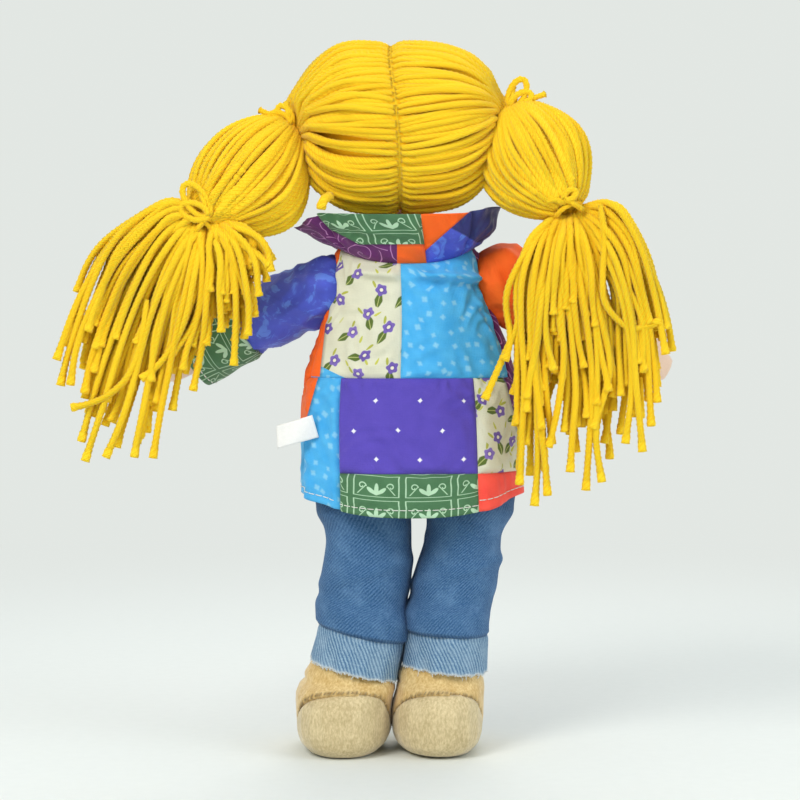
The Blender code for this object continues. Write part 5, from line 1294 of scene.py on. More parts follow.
def flat_sizes(grid):
    """Cloth coordinates in centimetres, and the panel's flat width, length and area."""
    across = np.linalg.norm(np.diff(grid, axis=0), axis=2)
    up = np.linalg.norm(np.diff(grid, axis=1), axis=2)
    u = np.concatenate([np.zeros((1, grid.shape[1])), np.cumsum(across, axis=0)])
    u = u - u[-1:] / 2
    v = np.concatenate([np.zeros((grid.shape[0], 1)), np.cumsum(up, axis=1)], axis=1)
    a, b = grid[1:, :-1] - grid[:-1, :-1], grid[:-1, 1:] - grid[:-1, :-1]
    area = np.linalg.norm(np.cross(a, b), axis=2).sum()
    return np.stack([u, v], -1) * 100, (float(across.sum(axis=0).max()),
                                        float(up.sum(axis=1).max()), float(area))


def crumple(angle, z):
    """Soft irregular creases of handled cotton."""
    a, b = angle * 0.045, z
    bent = 0.9 * sin(a * 170 + b * 60) + 0.7 * sin(b * 190 - a * 90 + 1.3)
    one = sqrt(sin(a * 260 + b * 190 + bent)**2 + 0.12) - 0.7
    two = sqrt(sin(b * 310 - a * 140 + 1.6 * bent + 0.7)**2 + 0.12) - 0.7
    return (-0.0016 * one * (0.5 + 0.5 * sin(a * 120 - b * 80))
            - 0.0013 * two * (0.5 + 0.5 * sin(a * 90 + b * 130 + 2)))


def panel(name, node, heights, sides, finish, slot, folds, body="torso", surface=jacket_point,
          held="stretched", open_sides=(), density=0.0011, thick=0.0011, rests=("torso_pad",),
          base=0.0004, shift_uv=(0.0, 0.0), armholes=False):
    """A patch between two heights and two angles, its sewn edges drawn in, with its folds."""
    (low, high), (start, end) = heights, sides
    mid = (start + end) / 2
    level = [surface(a, (low(a) + high(a)) / 2, 0) for a in np.linspace(start, end, 30)]
    wide = np.linalg.norm(np.diff(level, axis=0), axis=1).sum()
    tall = high(mid) - low(mid)
    density = fine(density)
    columns, rows = max(10, int(wide / density)), max(8, int(tall / density))
    outer, inner = np.zeros((2, columns, rows, 3))
    for c in range(columns):
        f = c / (columns - 1)
        angle = start + (end - start) * f
        for r in range(rows):
            g = r / (rows - 1)
            z = low(angle) + (high(angle) - low(angle)) * g
            edges = (("left", f * wide), ("right", (1 - f) * wide),
                     ("low", g * tall), ("high", (1 - g) * tall))
            draw = max([0.0] + [hill(away, 0.0016) for key, away in edges
                                if key not in open_sides])
            if armholes:
                here = surface(angle, z, 0)
                draw = max([draw] + [
                    0.7 * hill(max(0, np.linalg.norm(here - shoulder) - ARMHOLE), 0.0018)
                    for shoulder in SHOULDER.values()])
            stiff = 0.75 * hill(g * tall, 0.011) if "low" in open_sides else 0.0
            lift = base - SEAM_DRAW * draw + folds(f, g, f * wide, g * tall, angle, z) * (1 - draw)
            lift += crumple(angle, z) * (1 - draw) * (1 - stiff)
            outer[c, r] = surface(angle, z, -lift) + SHIFT
            inner[c, r] = surface(angle, z, thick - lift) + SHIFT
    keep = None
    if armholes:
        keep = np.ones((columns - 1, rows - 1), bool)
        for shoulder in SHOULDER.values():
            centre = np.array(shoulder) + SHIFT
            away = np.linalg.norm(outer - centre, axis=2)
            inside = away < ARMHOLE - 0.3 * density
            keep &= ~(inside[:-1, :-1] | inside[1:, :-1] | inside[1:, 1:] | inside[:-1, 1:])
            near = (away < ARMHOLE + 0.7 * density) & ~inside
            for grid in (outer, inner):
                grid[near] = centre + unit(grid[near] - centre) * ARMHOLE
    uv, (width, length, area) = flat_sizes(outer)
    if armholes:
        area *= float(keep.mean())
    made = slab(name, outer, inner, PRINT[finish], uv + np.array(shift_uv), keep=keep)
    as_sheet(dress(made, body, slot, node), (width, length, area), held, *rests)
    return outer


def sewn_line(name, paths, body):
    """A running topstitch: short threads that dip into the cloth at their ends."""
    strands = []
    for path in paths:
        point, length = walk(path, 0.0004)
        x = 0.0006
        while x + STITCH_LONG < length:
            a, m, b = point(x), point(x + STITCH_LONG / 2), point(x + STITCH_LONG)
            out = unit((m - np.array([SHIFT[0] + 0.004, SHIFT[1], m[2]])) * (0.6, 1, 0))
            strands.append((spline([a - out * 0.0004, a + out * 0.0002, m + out * 0.00038,
                                    b + out * 0.0002, b - out * 0.0004], 9), 0.00023, UP))
            x += STITCH_LONG + STITCH_GAP
    dress(yarn(name, strands, STITCH, 6, 0.0006, 0.0025), body, "floral_cotton")


SEAM_DRAW = 0.0014
STITCH_LONG, STITCH_GAP = 0.0028, 0.0010
HEM_STITCH_RISE = 0.0034


def hem_roll(v):
    return -0.0005 * hill(v - 0.0042, 0.0011)


def sky_folds(f, g, u, v, angle, z):
    """A crease drawn level under the collar, soft creases from the armhole, and a drape below."""
    crease = (0.0044 * hill(z - (0.2294 - 0.003 * f), 0.0019)
              - 0.0006 * hill(z - (0.2264 - 0.003 * f), 0.0012))
    arm = (0.0008 * sin((v - u * 0.8) * 420) * ease(f * 1.2 - 0.25) * ease((g - 0.25) / 0.4)
           * ease((0.95 - g) / 0.2))
    hang = 0.0008 * sin(f * 9.0 + 0.8) * ease((0.75 - g) / 0.5)
    return crease * ease(f / 0.2) * (1 - 0.7 * ease((f - 0.70) / 0.25)) + arm + hang


def floral_folds(f, g, u, v, angle, z):
    """The same creases on the left patch."""
    arm = (0.0012 * sin((v + u * 0.9) * 400 + 1.0) * ease(0.75 - f) * ease((g - 0.3) / 0.4)
           * ease((0.97 - g) / 0.2))
    hang = 0.0007 * sin(f * 8.0 + 2.0) * ease((0.8 - g) / 0.5)
    crease = (0.0032 * hill(z - (0.2285 + 0.004 * (1 - f)), 0.0022)
              - 0.0008 * hill(z - (0.2252 + 0.004 * (1 - f)), 0.0012))
    return arm + hang + crease * ease((f - 0.35) / 0.4)


def hang_folds(f, g, u, v, angle, z):
    """Small puckers under the waist seam that open into a soft flare."""
    return (0.0007 * sin(u * 900 + 1.7 * sin(u * 260)) * hill(1 - g, 0.12)
            + 0.0009 * sin(u * 150 + 1.0) * (1 - g))


def hem_folds(f, g, u, v, angle, z):
    return 0.0008 * sin(u * 150 + 1.0) + hem_roll(v)


def front_folds(f, g, u, v, angle, z):
    return (0.0010 * sin(f * 12 + g * 3.0) * ease(g * 2) * ease((1 - g) * 3)
            + 0.0006 * sin(v * 520 + u * 300) * ease((g - 0.4) / 0.3) * ease((1 - g) / 0.2))


def flap_folds(f, g, u, v, angle, z):
    return (0.0011 * sin(f * 13 + 0.6) * (1 - g * 0.6) + hem_roll(v)
            + 0.0006 * sin(u * 850) * hill(1 - g, 0.10))


def collar_folds(f, g, u, v, angle, z):
    """The collar bells out and turns over a little, more so at its right end."""
    turned_over = 0.0024 * ease((cos(angle) - 0.25) / 0.5) * sin(min(1, g * 1.1) * pi)**2
    crease = -0.0010 * hill(g - (0.46 - 0.25 * cos(angle)), 0.07)
    return (0.0012 * sin(g * pi) * (0.6 + 0.4 * sin(f * 7 + 1)) + 0.0006 * sin(u * 420 + v * 300)
            + turned_over + crease + 0.0062 * g * ease((-cos(angle) - 0.60) / 0.4))


def make_jacket():
    upper, lower = (waist_z, seam_z), (hem_z, waist_z)
    over, band = (band_z, waist_z), (hem_z, band_z)
    hung = {"held": "hung", "open_sides": ("low",)}
    loose = {"held": "hung", "open_sides": ("low", "left", "right")}
    panel("back_floral", "back_floral_panel", upper, (LEFT_SIDE, MIDDLE), "back_floral",
          "floral_cotton", floral_folds, armholes=True, density=0.0009)
    panel("back_sky", "back_sky_panel", upper, (MIDDLE, RIGHT_SIDE), "sky", "sky_cotton",
          sky_folds, armholes=True, density=0.0009, shift_uv=(2.0, 0.0))
    upper_orange = panel("front_orange", "left_front_panel", upper, (EARLY_FRONT, LEFT_SIDE),
                         "orange", "orange_satin", front_folds, armholes=True)
    upper_plum = panel("front_purple", "right_front_panel", upper, (RIGHT_SIDE, FRONT),
                       "purple", "purple_cotton", front_folds, armholes=True)
    strip = panel("strip_sky", "left_sky_strip", lower, (LEFT_FLAP, LEFT_STRIP), "strip_sky",
                  "sky_cotton", flap_folds, shift_uv=(5.0, 1.0), **hung)
    panel("back_violet", "back_violet_panel", over, (LEFT_STRIP, RIGHT_STRIP), "violet",
          "violet_cotton", hang_folds)
    panel("strip_floral", "back_floral_strip", over, (RIGHT_STRIP, RIGHT_FLAP), "strip_floral",
          "floral_cotton", hang_folds, shift_uv=(4.0, 3.0))
    green = panel("hem_green", "green_hem_band", band, (LEFT_STRIP, RIGHT_STRIP), "green",
                  "green_cotton", hem_folds, **hung)
    corner = panel("hem_coral", "coral_corner_patch", band, (RIGHT_STRIP, RIGHT_FLAP), "coral",
                   "coral_cotton", hem_folds, **hung)
    orange = panel("skirt_orange", "left_skirt_flap", lower, (EARLY_FRONT, LEFT_FLAP), "orange",
                   "orange_satin", flap_folds, "left_skirt", **loose)
    plum = panel("skirt_purple", "right_skirt_flap", lower, (RIGHT_FLAP, FRONT), "purple",
                 "purple_cotton", flap_folds, "right_skirt", **loose)
    for word, grids, body in (("back", (strip, green, corner), "torso"),
                              ("left", (orange,), "left_skirt"),
                              ("right", (plum,), "right_skirt")):
        lines = []
        for grid in grids:
            steps = np.diff(grid[grid.shape[0] // 2], axis=0)
            height = np.linalg.norm(steps, axis=1).cumsum()
            lines.append(grid[:, int(np.searchsorted(height, HEM_STITCH_RISE)) + 1])
        sewn_line(word + "_hem_stitch", lines, body)
    collar = (("purple", "purple", "cotton", ("high", "left")),
              ("green", "collar_green", "cotton", ("high",)),
              ("orange", "collar_orange", "satin", ("high",)),
              ("indigo", "collar_indigo", "cotton", ("high", "right")))
    for k, (word, finish, kind, loose_sides) in enumerate(collar):
        panel("collar_" + word, "collar_%s_patch" % word, (seam_z, collar_z),
              COLLAR_BORDERS[k:k + 2], finish, "%s_%s" % (word, kind), collar_folds,
              surface=collar_point, held="folded", density=0.0008, thick=0.0015, base=0.0002,
              open_sides=loose_sides, rests=("back_floral", "back_sky"), shift_uv=(0.0, 0.1))
    sewn_line("left_edge_stitch", [orange[3]], "left_skirt")
    sewn_line("right_edge_stitch", [plum[-4]], "right_skirt")
    sewn_line("left_front_stitch", [upper_orange[3][2:-6]], "torso")
    sewn_line("right_front_stitch", [upper_plum[-4][2:-6]], "torso")


stuffed("torso", "torso_pad", SKIN, "torso", "skin_cloth", 0.0014, 4, 0.0)
make_jacket()


# ---- arms and sleeves ----

ARM_RINGS = ((0.0, 0.0138, 0.0138), (0.0450, 0.0128, 0.0128), (0.0740, 0.0095, 0.0095),
             (0.0860, 0.0118, 0.0080), (0.0990, 0.0053, 0.0032))
ARM_RADIUS, WRIST_RADIUS = 0.0138, 0.0128
SLEEVE_START, SLEEVE_LONG = -0.0130, 0.0650
CUFF_START, CUFF_LONG, CUFF_STITCH_PLACE = 0.0440, 0.0300, 0.0712
CUFF_STITCH, CUFF_STITCH_STEP = 0.0024, 0.0036


def arm_axes(side):
    along = unit((side * cos(ARM_DROP) * cos(ARM_FORWARD), sin(ARM_FORWARD),
                  -sin(ARM_DROP) * cos(ARM_FORWARD)))
    deep = unit(np.array([0, 1.0, 0]) - along * along[1])
    return along, unit(np.cross(along, deep)), deep


def arm_size(place):
    if place <= 0:
        h = sqrt(max(ARM_RADIUS * ARM_RADIUS - place * place, 0.0))
        return h, h
    return smooth_between(ARM_RINGS, place)


def arm_ring(side, place, columns, lift):
    """Points round the arm at a place along it, each raised by lift(turn)."""
    along, up, deep = arm_axes(side)
    height, width = arm_size(place)
    ring = []
    for turn in tau * np.arange(columns + 1) / columns:
        out = lift(turn)
        ring.append(np.array(SHOULDER[side]) + along * place + up * cos(turn) * (height + out)
                    + deep * sin(turn) * (width + out) + SHIFT)
    return ring


def tube_cloth(name, side, places, lift, thick, finish, slot, node):
    """A sleeve or cuff: cloth round the arm with both its faces, open at its ends."""
    columns = fine(96)
    outer, inner = (np.array([arm_ring(side, place, columns, lambda turn: lift(turn, place) - less)
                              for place in places]).swapaxes(0, 1) for less in (0.0, thick))
    uv, sizes = flat_sizes(outer)
    return dress(pipe_cloth(name, outer, inner, finish, uv), None, slot, node), sizes


def make_arm(side, finish, slot, seed, puff_out):
    word, body = WORD[side], WORD[side] + "_arm"
    along = arm_axes(side)[0]
    root = np.array(SHOULDER[side]) + SHIFT

    def slack(verts):
        """The upper arm stays clear of the sleeve and the body."""
        place = ((verts - root) @ along)[:, None]
        middle = root + along * place
        return middle + (verts - middle) * (0.74 + 0.26 * ease((place - 0.010) / 0.024))

    def sleeve_lift(turn, place):
        """Gathers at the shoulder, slanting creases, and a pinch at the cuff."""
        near = hill(place, 0.016)
        ray = sin(turn * 7 + seed * 3 + place * 120) * 0.0008 * near
        slant = sin(turn * 2 + place * 260 + seed) * 0.0007 * (1 - near)
        pinch = sin(turn * 9 + seed) * 0.0005 * ease((place - 0.030) / 0.016)
        puff = puff_out * (0.5 + 0.5 * cos(turn)) * hill(place - 0.006, 0.017)
        bent = 0.9 * sin(place * 130 + turn * 2 + seed)
        crease = -0.0013 * abs(sin(turn * 2.5 + place * 170 + bent + seed * 2))**0.7
        crease -= (0.0011 * abs(sin(turn * 4 - place * 240 + 1.5 * bent))
                   * hill(place - 0.010, 0.014))
        grow = (0.0020 + 0.0006 * sin(pi * min(1, max(0, place / 0.045)))
                - 0.0012 * ease((place - 0.0465) / 0.004))
        return grow + (ray * 1.3 + slant + pinch + puff + crease + 0.0008)

    def cuff_lift(turn, place):
        """The cuff stands off the wrist and opens a little."""
        thin = WRIST_RADIUS - min(arm_size(place)[0], WRIST_RADIUS)
        grow = (0.0022 + 0.0015 + thin + 0.0022 * (place - CUFF_START) / CUFF_LONG
                - 0.0012 * hill(place - CUFF_START, 0.0016))
        return grow + (0.0007 * sin(turn * 3 + seed) * ease((place - 0.046) / 0.02)
                       + 0.0004 * sin(turn * 11 + seed) * hill(place - 0.046, 0.005)
                       + 0.0003 * sin(turn * 5 + place * 300))

    stuffed(body, word + "_arm_pad", SKIN, body, "skin_cloth", 0.0009, 5, 0.0002, reshape=slack)
    count = int(SLEEVE_LONG / fine(0.0014))
    places = [SLEEVE_START + SLEEVE_LONG * k / count for k in range(count + 1)]
    made, sizes = tube_cloth(word + "_sleeve_cloth", side, places, sleeve_lift, 0.0011,
                             PRINT[finish], slot, word + "_sleeve")
    tuple(root - along * 0.004)
    tuple(root + along * 0.010)
    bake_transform(made)
    as_sheet(made, sizes, "stretched", word + "_arm_pad")
    places = [CUFF_START + CUFF_LONG * k / 26 for k in range(27)]
    made, sizes = tube_cloth(word + "_cuff_cloth", side, places, cuff_lift, 0.0016,
                             PRINT["green"], "green_cotton", word + "_sleeve_cuff")
    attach(made, body)
    as_sheet(made, sizes, "stretched", word + "_sleeve_cloth")
    ring = arm_ring(side, CUFF_STITCH_PLACE, 96, lambda turn: cuff_lift(turn, CUFF_STITCH_PLACE))
    point, length = walk(np.array(ring), 0.0004)
    strands = []
    x = 0.0
    while x + CUFF_STITCH < length:
        a, b, c = (point(x + CUFF_STITCH * part) for part in (0, 0.5, 1))
        out = unit(b - (root + along * CUFF_STITCH_PLACE))
        strands.append((spline([a - out * 0.0003, b + out * 0.0004, c - out * 0.0003], 7),
                        0.00028, along))
        x += CUFF_STITCH_STEP
    dress(yarn(word + "_cuff_stitch", strands, STITCH, 6, 0.0006, 0.0025), body, "green_cotton")


make_arm(-1, "indigo", "indigo_cotton", 0.7, 0.0012)
make_arm(1, "orange", "orange_satin", 2.1, 0.0086)


# ---- jeans, rolled cuffs and shoes ----

LEGS = {-1: ((0.1430, -0.0180, 0.0215, 0.0210), (0.1070, -0.0152, 0.0198, 0.0200),
             (0.0800, -0.0172, 0.0213, 0.0200), (0.0645, -0.0194, 0.0188, 0.0185),
             (0.0470, -0.0194, 0.0188, 0.0185)),
        1: ((0.1430, 0.0320, 0.0215, 0.0210), (0.1070, 0.0312, 0.0176, 0.0200),
            (0.0800, 0.0262, 0.0202, 0.0200), (0.0645, 0.0234, 0.0172, 0.0185),
            (0.0470, 0.0234, 0.0172, 0.0185))}
JEANS_LOW_RINGS = (0.0572, 0.0578, 0.0583, 0.0587, 0.0591, 0.0595, 0.0600)
# For each leg: the inner and the outer flare at the trouser's end, and its tilt
JEANS_END = {-1: (0.0056, 0.0024, -0.0050), 1: (0.0046, 0.0026, -0.0012)}
# For each rolled cuff: its lower edge, tilt, place, drift and snugness
ROLLS = {-1: (0.0395, -0.0046, 0.0022, -0.0048, 0.0018),
         1: (0.0400, -0.0018, 0.0007, -0.0018, 0.0013)}
ROLL_TOP = 0.0635
FRAY_THREADS = fine(330)


def round_seam(turn, seam_turn):
    """The angle from an upright seam, from -pi to pi."""
    return (turn - seam_turn + pi) % tau - pi


def make_jeans(side):
    word, body = WORD[side], WORD[side] + "_leg"
    columns = fine(112)
    heights = [*JEANS_LOW_RINGS, *np.arange(0.0608, HIP_Z, fine(0.0012)), HIP_Z]
    rings = [(z, *smooth_between(LEGS[side], z)) for z in heights]
    for a in np.radians(range(6, 90, 6)):
        rings.append((HIP_Z + HIP_RADIUS * sin(a), LEGS[side][0][1], 0.0215 * cos(a)**0.8,
                      HIP_RADIUS * cos(a)))
    outer, dark = np.zeros((columns + 1, len(rings), 3)), np.zeros((columns + 1, len(rings)))
    inner_flare, outer_flare, low_tilt = JEANS_END[side]
    for r, (z, x, wide, deep) in enumerate(rings):
        for c in range(columns + 1):
            turn = tau * c / columns
            sx, sy = cos(turn), sin(turn)
            behind, ahead = 0.5 - 0.5 * sy, 0.6 + 0.4 * sy
            off = round_seam(turn, pi if side > 0 else 0.0)
            lift = 0.0002 + 0.0010 * ease((0.075 - z) / 0.012) * sin(turn * 5 + z * 260)
            lift += (0.0006 * sin(z * 190 + sx * 2.2 + side) * sin(turn * 2 + z * 60)
                     * (0.35 + 0.65 * sy * sy))
            lift += 0.0010 * hill(z + 0.5 * wide * sx * side - 0.1235, 0.0035) * behind
            lift += 0.0009 * hill(z + 0.35 * wide * sx - 0.098, 0.0030) * ahead
            lift += 0.0011 * hill(z - 0.30 * wide * sx - 0.0875, 0.0028) * behind
            if side > 0:
                lift += 0.0012 * hill(z + 0.85 * wide * sx - 0.1090, 0.0030) * behind
            lift += 0.0007 * exp(-(off * 10)**2) - 0.0006 * exp(-((abs(off) - 0.10) * 30)**2)
            lift *= ease((HIP_Z + 0.012 - z) / 0.02) * (1 - 0.8 * ease((0.074 - z) / 0.010))
            inwards, outwards = max(0.0, -sx * side), max(0.0, sx * side)
            lift += 0.0042 * outwards * ease((z - 0.103) / 0.014) * ease((0.150 - z) / 0.02)
            edge = ease((0.0592 - z) / 0.0020)
            lift += ((inner_flare * inwards + outer_flare * outwards + 0.0036 * sy * sy)
                     * ease((0.076 - z) / 0.011) * (1 - 0.4 * edge))
            down = low_tilt * sx * ease((0.082 - z) / 0.018)
            outer[c, r] = np.array([x + (wide + lift) * sx, (deep + lift) * sy, z + down]) + SHIFT
            # Painted shadow under the jacket's hem at the top of the leg, painted shadow at the
            # trouser's end over the cuff, and painted shade in the valleys beside the side seam
            dark[c, r] = max(0.75 * ease((z - 0.105) / 0.02), 0.6 * edge,
                             0.35 * exp(-((abs(off) - 0.09) * 26)**2))
    uv, sizes = flat_sizes(outer)
    inner = outer + unit(outer.mean(axis=0, keepdims=True) - outer) * 0.0011 * (1, 1, 0.2)
    made = pipe_cloth(word + "_jeans_cloth", outer, inner, DENIM, uv, {"dark": dark})
    dress(made, None, "denim", word + "_jeans_leg")
    x = LEGS[side][0][1] + SHIFT[0]
    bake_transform(made)
    as_sheet(made, sizes, "stretched", word + "_leg_pad")
    stuffed(body, word + "_leg_pad", SKIN, body, "skin_cloth", 0.0016, 3, -0.0006)


def make_roll(side):
    """The trouser end turned up: a double band with a frayed lower edge and an inner seam."""
    word, body = WORD[side], WORD[side] + "_leg"
    bottom, tilt, begin, shift, snug = ROLLS[side]
    x, wide, deep = smooth_between(LEGS[side], ROLL_TOP)
    columns, rows = fine(120), 24
    outer, inner = np.zeros((2, columns + 1, rows, 3))
    dark, pale = np.zeros((2, columns + 1, rows))
    seam_turn = pi + 0.35 if side > 0 else -0.35
    for r in range(rows):
        share = r / (rows - 1)
        fall = 1 - share
        z = bottom + (ROLL_TOP - bottom) * share
        lean = 0.25 + 0.75 * fall if side > 0 else 1.0
        for c in range(columns + 1):
            turn = tau * c / columns
            sx, sy = cos(turn), sin(turn)
            off = round_seam(turn, seam_turn)
            lift = 0.0003 * sin(turn * 4 + side) + 0.0003 * sin(turn * 9 + z * 150)
            lift = ((lift + 0.0004 * exp(-(off * 9)**2)) * ease((0.85 - share) / 0.2)
                    - 0.0012 * ease((share - 0.62) / 0.25) + 0.0006 * fall**3 * sin(turn * 13 + 1))
            close = max(0.0, -sx * side) * (0.0010 * (1 - fall) if side < 0 else 0.0021)
            for grid, less in ((outer, 0.0), (inner, 0.0020)):
                grip = snug - less + lift
                w = wide + grip + 0.0006 * fall + close
                d = deep + grip + 0.0026 * fall
                rise = tilt * lean * (w * sx) / wide + 0.0003 * sin(turn * 17) * fall
                grid[c, r] = at(x + begin + shift * fall + w * sx, d * sy, z + rise)
            # Painted shadow at the top under the trouser's end, and painted shade beside the inner
            # seam; the pale frayed edge is the cloth's own
            dark[c, r] = 0.30 * hill(share - 1.0, 0.07) + 0.35 * exp(-((abs(off) - 0.13) * 14)**2)
            pale[c, r] = 0.9 * hill(share, 0.03)
    uv, sizes = flat_sizes(outer)
    made = pipe_cloth(word + "_roll_cloth", outer, inner, REVERSE, uv,
                      {"dark": dark, "pale": pale})
    dress(made, body, "denim_reverse", word + "_jeans_cuff")
    as_sheet(made, sizes, "folded", word + "_jeans_cloth")
    strands = []
    edge = (outer[:-1, 0] + inner[:-1, 0]) / 2
    middle = edge.mean(axis=0)
    for _ in range(FRAY_THREADS):
        f = rng.uniform(0, len(edge))
        i = int(f) % len(edge)
        root = edge[i] * (1 - f % 1) + edge[(i + 1) % len(edge)] * (f % 1)
        out = unit((root - middle) * (1, 1, 0))
        along = np.cross(out, (0, 0, 1.0))
        root = root + out * rng.uniform(-0.0006, 0.0012)
        root = root + (0, 0, rng.uniform(0.0, 0.0006))
        lean = along * rng.uniform(-1.2, 1.2)
        long = rng.uniform(0.0004, 0.0011) * (3.0 if rng.uniform() > 0.97 else 1)
        way = unit(np.array([0, 0, -1.0]) + lean * 0.7 + out * rng.uniform(-0.1, 0.6))
        end = root + way * long
        bend = ((root + end) / 2 + out * rng.uniform(-0.0003, 0.0006)
                + along * rng.uniform(-0.0004, 0.0004))
        strands.append((spline([root, bend, end], 6), rng.uniform(0.00014, 0.00024),
                        (0.3, 0.2, 1)))
    dress(yarn(word + "_cuff_fray", strands, FRAY, 5, 0.0006, 0.003), body, "denim_reverse")


SHOE_X = {-1: -0.0273, 1: 0.0182}
SHOE_Y = 0.0055
# For each shoe: how far the upper swells outside and inside, and at which height and spread
SHOE_SWELL = {-1: (0.30, 0.04, 0.0350, 0.0080, 0.0034), 1: (0.04, 0.36, 0.0375, 0.0068, 0.0014)}


def sole_seam_z(y):
    return 0.0325 - 0.0240 * ease((y + 0.0295) / 0.0400)


def make_shoe(side):
    word, body = WORD[side], WORD[side] + "_leg"
    x = LEGS[side][4][1] + SHIFT[0]
    right, left, swell_z, spread, drift = SHOE_SWELL[side]

    def fuller(verts):
        """The upper swells to fill the cuff above it."""
        z = verts[:, 2]
        outside = (verts[:, 0] - x) * side > 0
        swell = np.where(outside, right, left) * np.exp(-((z - swell_z) / spread)**2)
        y = verts[:, 1] - SHIFT[1]
        out = verts.copy()
        out[:, 0] = x + (verts[:, 0] - x) * (1 + swell) - drift * ease((z - 0.029) / 0.009)
        out[:, 1] = SHIFT[1] + y * (1 + np.minimum(swell, 0.14) * 0.5 * (y < 0))
        return planted(out)

    def planted(verts):
        """Flat where it stands."""
        out = verts.copy()
        out[:, 2] = np.maximum(verts[:, 2], FLOOR_GAP)
        return out

    def painted_seam_shade(verts):
        """Painted shade along the drawn-in seam between upper and sole, darker between its
        puckers.
        """
        y = verts[:, 1] - SHIFT[1]
        turn = np.arctan2(y - SHOE_Y, verts[:, 0] - x)
        pucker = 0.55 + 0.45 * np.sin(turn * 46 + 1.5 * np.sin(turn * 11))
        away = verts[:, 2] - sole_seam_z(y)
        return {"dark": 0.75 * np.exp(-(away / 0.0011)**2) * pucker}

    form = bmesh.new()
    parts = (("_shoe_sole", "_shoe_under", VELOUR, 0.0006, planted),
             ("_shoe_upper", "_shoe_top", VELOUR_TOP, 0.0005, fuller))
    for node, name, finish, swell, reshape in parts[::-1]:
        stuffed(word + node, word + name, finish, body, "velour", 0.0010, 7, swell,
                bumps=0.0004, reshape=reshape, values=painted_seam_shade)
    for node, name, *_ in parts:
        form.from_mesh(bpy.data.objects[word + name].data)
    tree = BVHTree.FromBMesh(form)
    form.free()
    middle = np.array([SHOE_X[side] + SHIFT[0], SHOE_Y + SHIFT[1], 0])
    seam = []
    for turn in tau * np.arange(241) / 240:
        way = np.array([cos(turn), sin(turn), 0])
        y = SHOE_Y + 0.030 * sin(turn)
        for _ in range(4):
            level = middle + (0, 0, sole_seam_z(y))
            hit = tree.ray_cast(Vector(level + way * 0.08), Vector(-way))[0]
            if hit is None:
                break
            y = hit.y - SHIFT[1]
        if hit is not None:
            seam.append(np.array(hit))
    point, length = walk(np.array(seam), 0.0003)
    strands = []
    q = 0.0
    while q + 0.0020 < length:
        a, b, c = point(q), point(q + 0.0007), point(q + 0.0014)
        out = unit((b - middle) * (1, 1, 0))
        slant = np.array([0, 0, rng.uniform(0.0005, 0.0010)])
        strands.append((spline([a - out * 0.0005 - slant, b + out * 0.00035,
                                c - out * 0.0005 + slant], 7), 0.00026, UP))
        q += rng.uniform(0.0019, 0.0026)
    dress(yarn(word + "_shoe_stitch", strands, SHOE_THREAD, 6, 0.0005, 0.002), body, "velour")


TAG_LONG, TAG_WIDE, TAG_TILT = 0.0190, 0.0110, radians(16)


def make_tag():
    hinge = jacket_point(back_angle(-0.86), 0.1545, -0.0008) + (0.0010, -0.0014, 0.0032) + SHIFT
    columns, rows = 22, 12
    outer, inner = np.zeros((2, columns, rows, 3))
    for c in range(columns):
        s = c / (columns - 1)
        for r in range(rows):
            g = r / (rows - 1) - 0.5
            x, z = -TAG_LONG * s, TAG_WIDE * g
            curl = -0.0016 * sin(s * pi * 0.9) - 0.0007 * sin(g * 3 + s * 4)
            p = hinge + (x * cos(TAG_TILT) - z * sin(TAG_TILT) * (1 - 0.8 * s), curl,
                         z * cos(TAG_TILT) + x * sin(TAG_TILT))
            outer[c, r], inner[c, r] = p - (0, 0.0003, 0), p + (0, 0.0003, 0)
    uv, sizes = flat_sizes(outer)
    made = slab("tag_cloth", outer, inner, TAG, uv)
    as_sheet(dress(made, "care_tag", "tag_satin", "care_tag"), sizes, "hung", "strip_sky")


for side in (-1, 1):
    make_jeans(side)
stuffed("jeans_seat", "seat_cloth", DENIM, "torso", "denim", 0.0012, 4, 0.0001, front_flat)
for make_pair in (make_roll, make_shoe):
    for side in (-1, 1):
        make_pair(side)
make_tag()


# ---- floor, light and camera ----

PAPER_GLOW = (0.765, 0.80, 0.77, 1)
SWEEP_START, SWEEP_RADIUS, SWEEP_TOP = 2.6, 0.9, 2.2


def aim(made, place, way):
    made.location = Vector(place)
    made.rotation_euler = Vector(way).to_track_quat("-Z", "Y").to_euler()


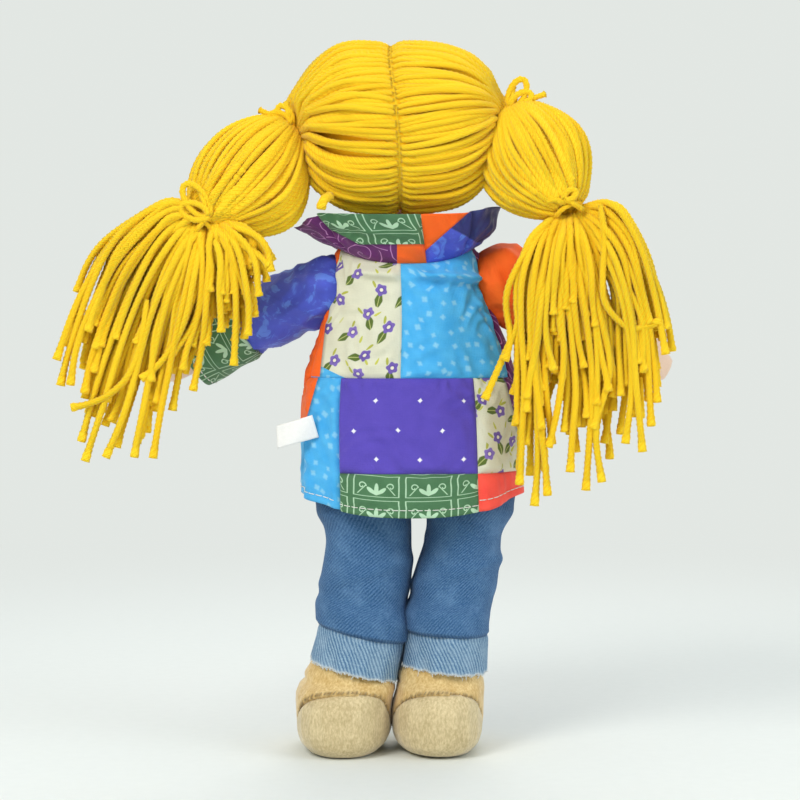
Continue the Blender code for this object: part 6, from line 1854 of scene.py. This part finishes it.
def make_stage():
    profile = [(0.0, 0.0), (0.3, 0.0), (0.8, 0.0), (1.6, 0.0), (SWEEP_START, 0.0)]
    profile += [(SWEEP_START + SWEEP_RADIUS * sin(a), SWEEP_RADIUS * (1 - cos(a)))
                for a in np.radians(range(10, 91, 10))]
    profile.append((SWEEP_START + SWEEP_RADIUS, SWEEP_TOP))
    around = 64
    verts = [(r * cos(tau * k / around), r * sin(tau * k / around), z)
             for k in range(around) for r, z in profile]
    net = Net("floor_paper", 0.95, Specular_IOR_Level=0.1)
    grain = net.noise(net.rest(), 160.0, 2.0)
    net.colour(net.mix(grain, (0.765, 0.795, 0.770), (0.795, 0.825, 0.800)))
    x, y, _ = net.parts(net.rest())
    far = net.step(net.length(x, y), 0.22, 0.95)
    ray = net.put("ShaderNodeLightPath").outputs
    seen_by = net.most(ray["Is Camera Ray"], net.most(ray["Is Glossy Ray"],
                                                      ray["Is Transmission Ray"]))
    glow = net.read("ShaderNodeEmission", {0: PAPER_GLOW, 1: 1.0})
    both = net.read("ShaderNodeMixShader", {0: far * seen_by, 1: net.shader.outputs[0], 2: glow})
    net.give(net.tree.nodes["Material Output"].inputs["Surface"], both)
    make("floor", verts, strip_faces(around, len(profile), True), net.mat)

    world = bpy.data.worlds.new("studio")
    bpy.context.scene.world = world
    world.use_nodes = True
    shade = world.node_tree.nodes["Background"]
    shade.inputs[0].default_value = (0.95, 0.98, 1.0, 1)
    shade.inputs[1].default_value = 0.76
    for name, place, look, size, power, colour in (
            ("key", (-0.7, -1.1, 1.15), (0, 0, 0.16), 0.7, 12.5, (1.0, 0.985, 0.95)),
            ("fill", (1.2, -0.7, 0.7), (0, 0, 0.16), 1.0, 6.0, (0.95, 0.98, 1.0)),
            ("rear", (0.2, 1.0, 1.2), (0, 0, 0.18), 0.8, 5.0, (1, 1, 1))):
        light = bpy.data.lights.new(name, "AREA")
        light.shape = "DISK"
        light.size = size
        light.energy = power
        light.color = colour
        aim(link(name, light), place, Vector(look) - Vector(place))
    bpy.context.scene.view_settings.view_transform = "Standard"


def make_camera():
    data = bpy.data.cameras.new("camera")
    data.lens = LENS
    data.sensor_width = SENSOR
    data.sensor_fit = "HORIZONTAL"
    data.clip_start = 0.05
    made = link("camera", data)
    aim(made, VIEW_POINT, -VIEW_BACK)
    bpy.context.scene.camera = made


make_stage()
make_camera()
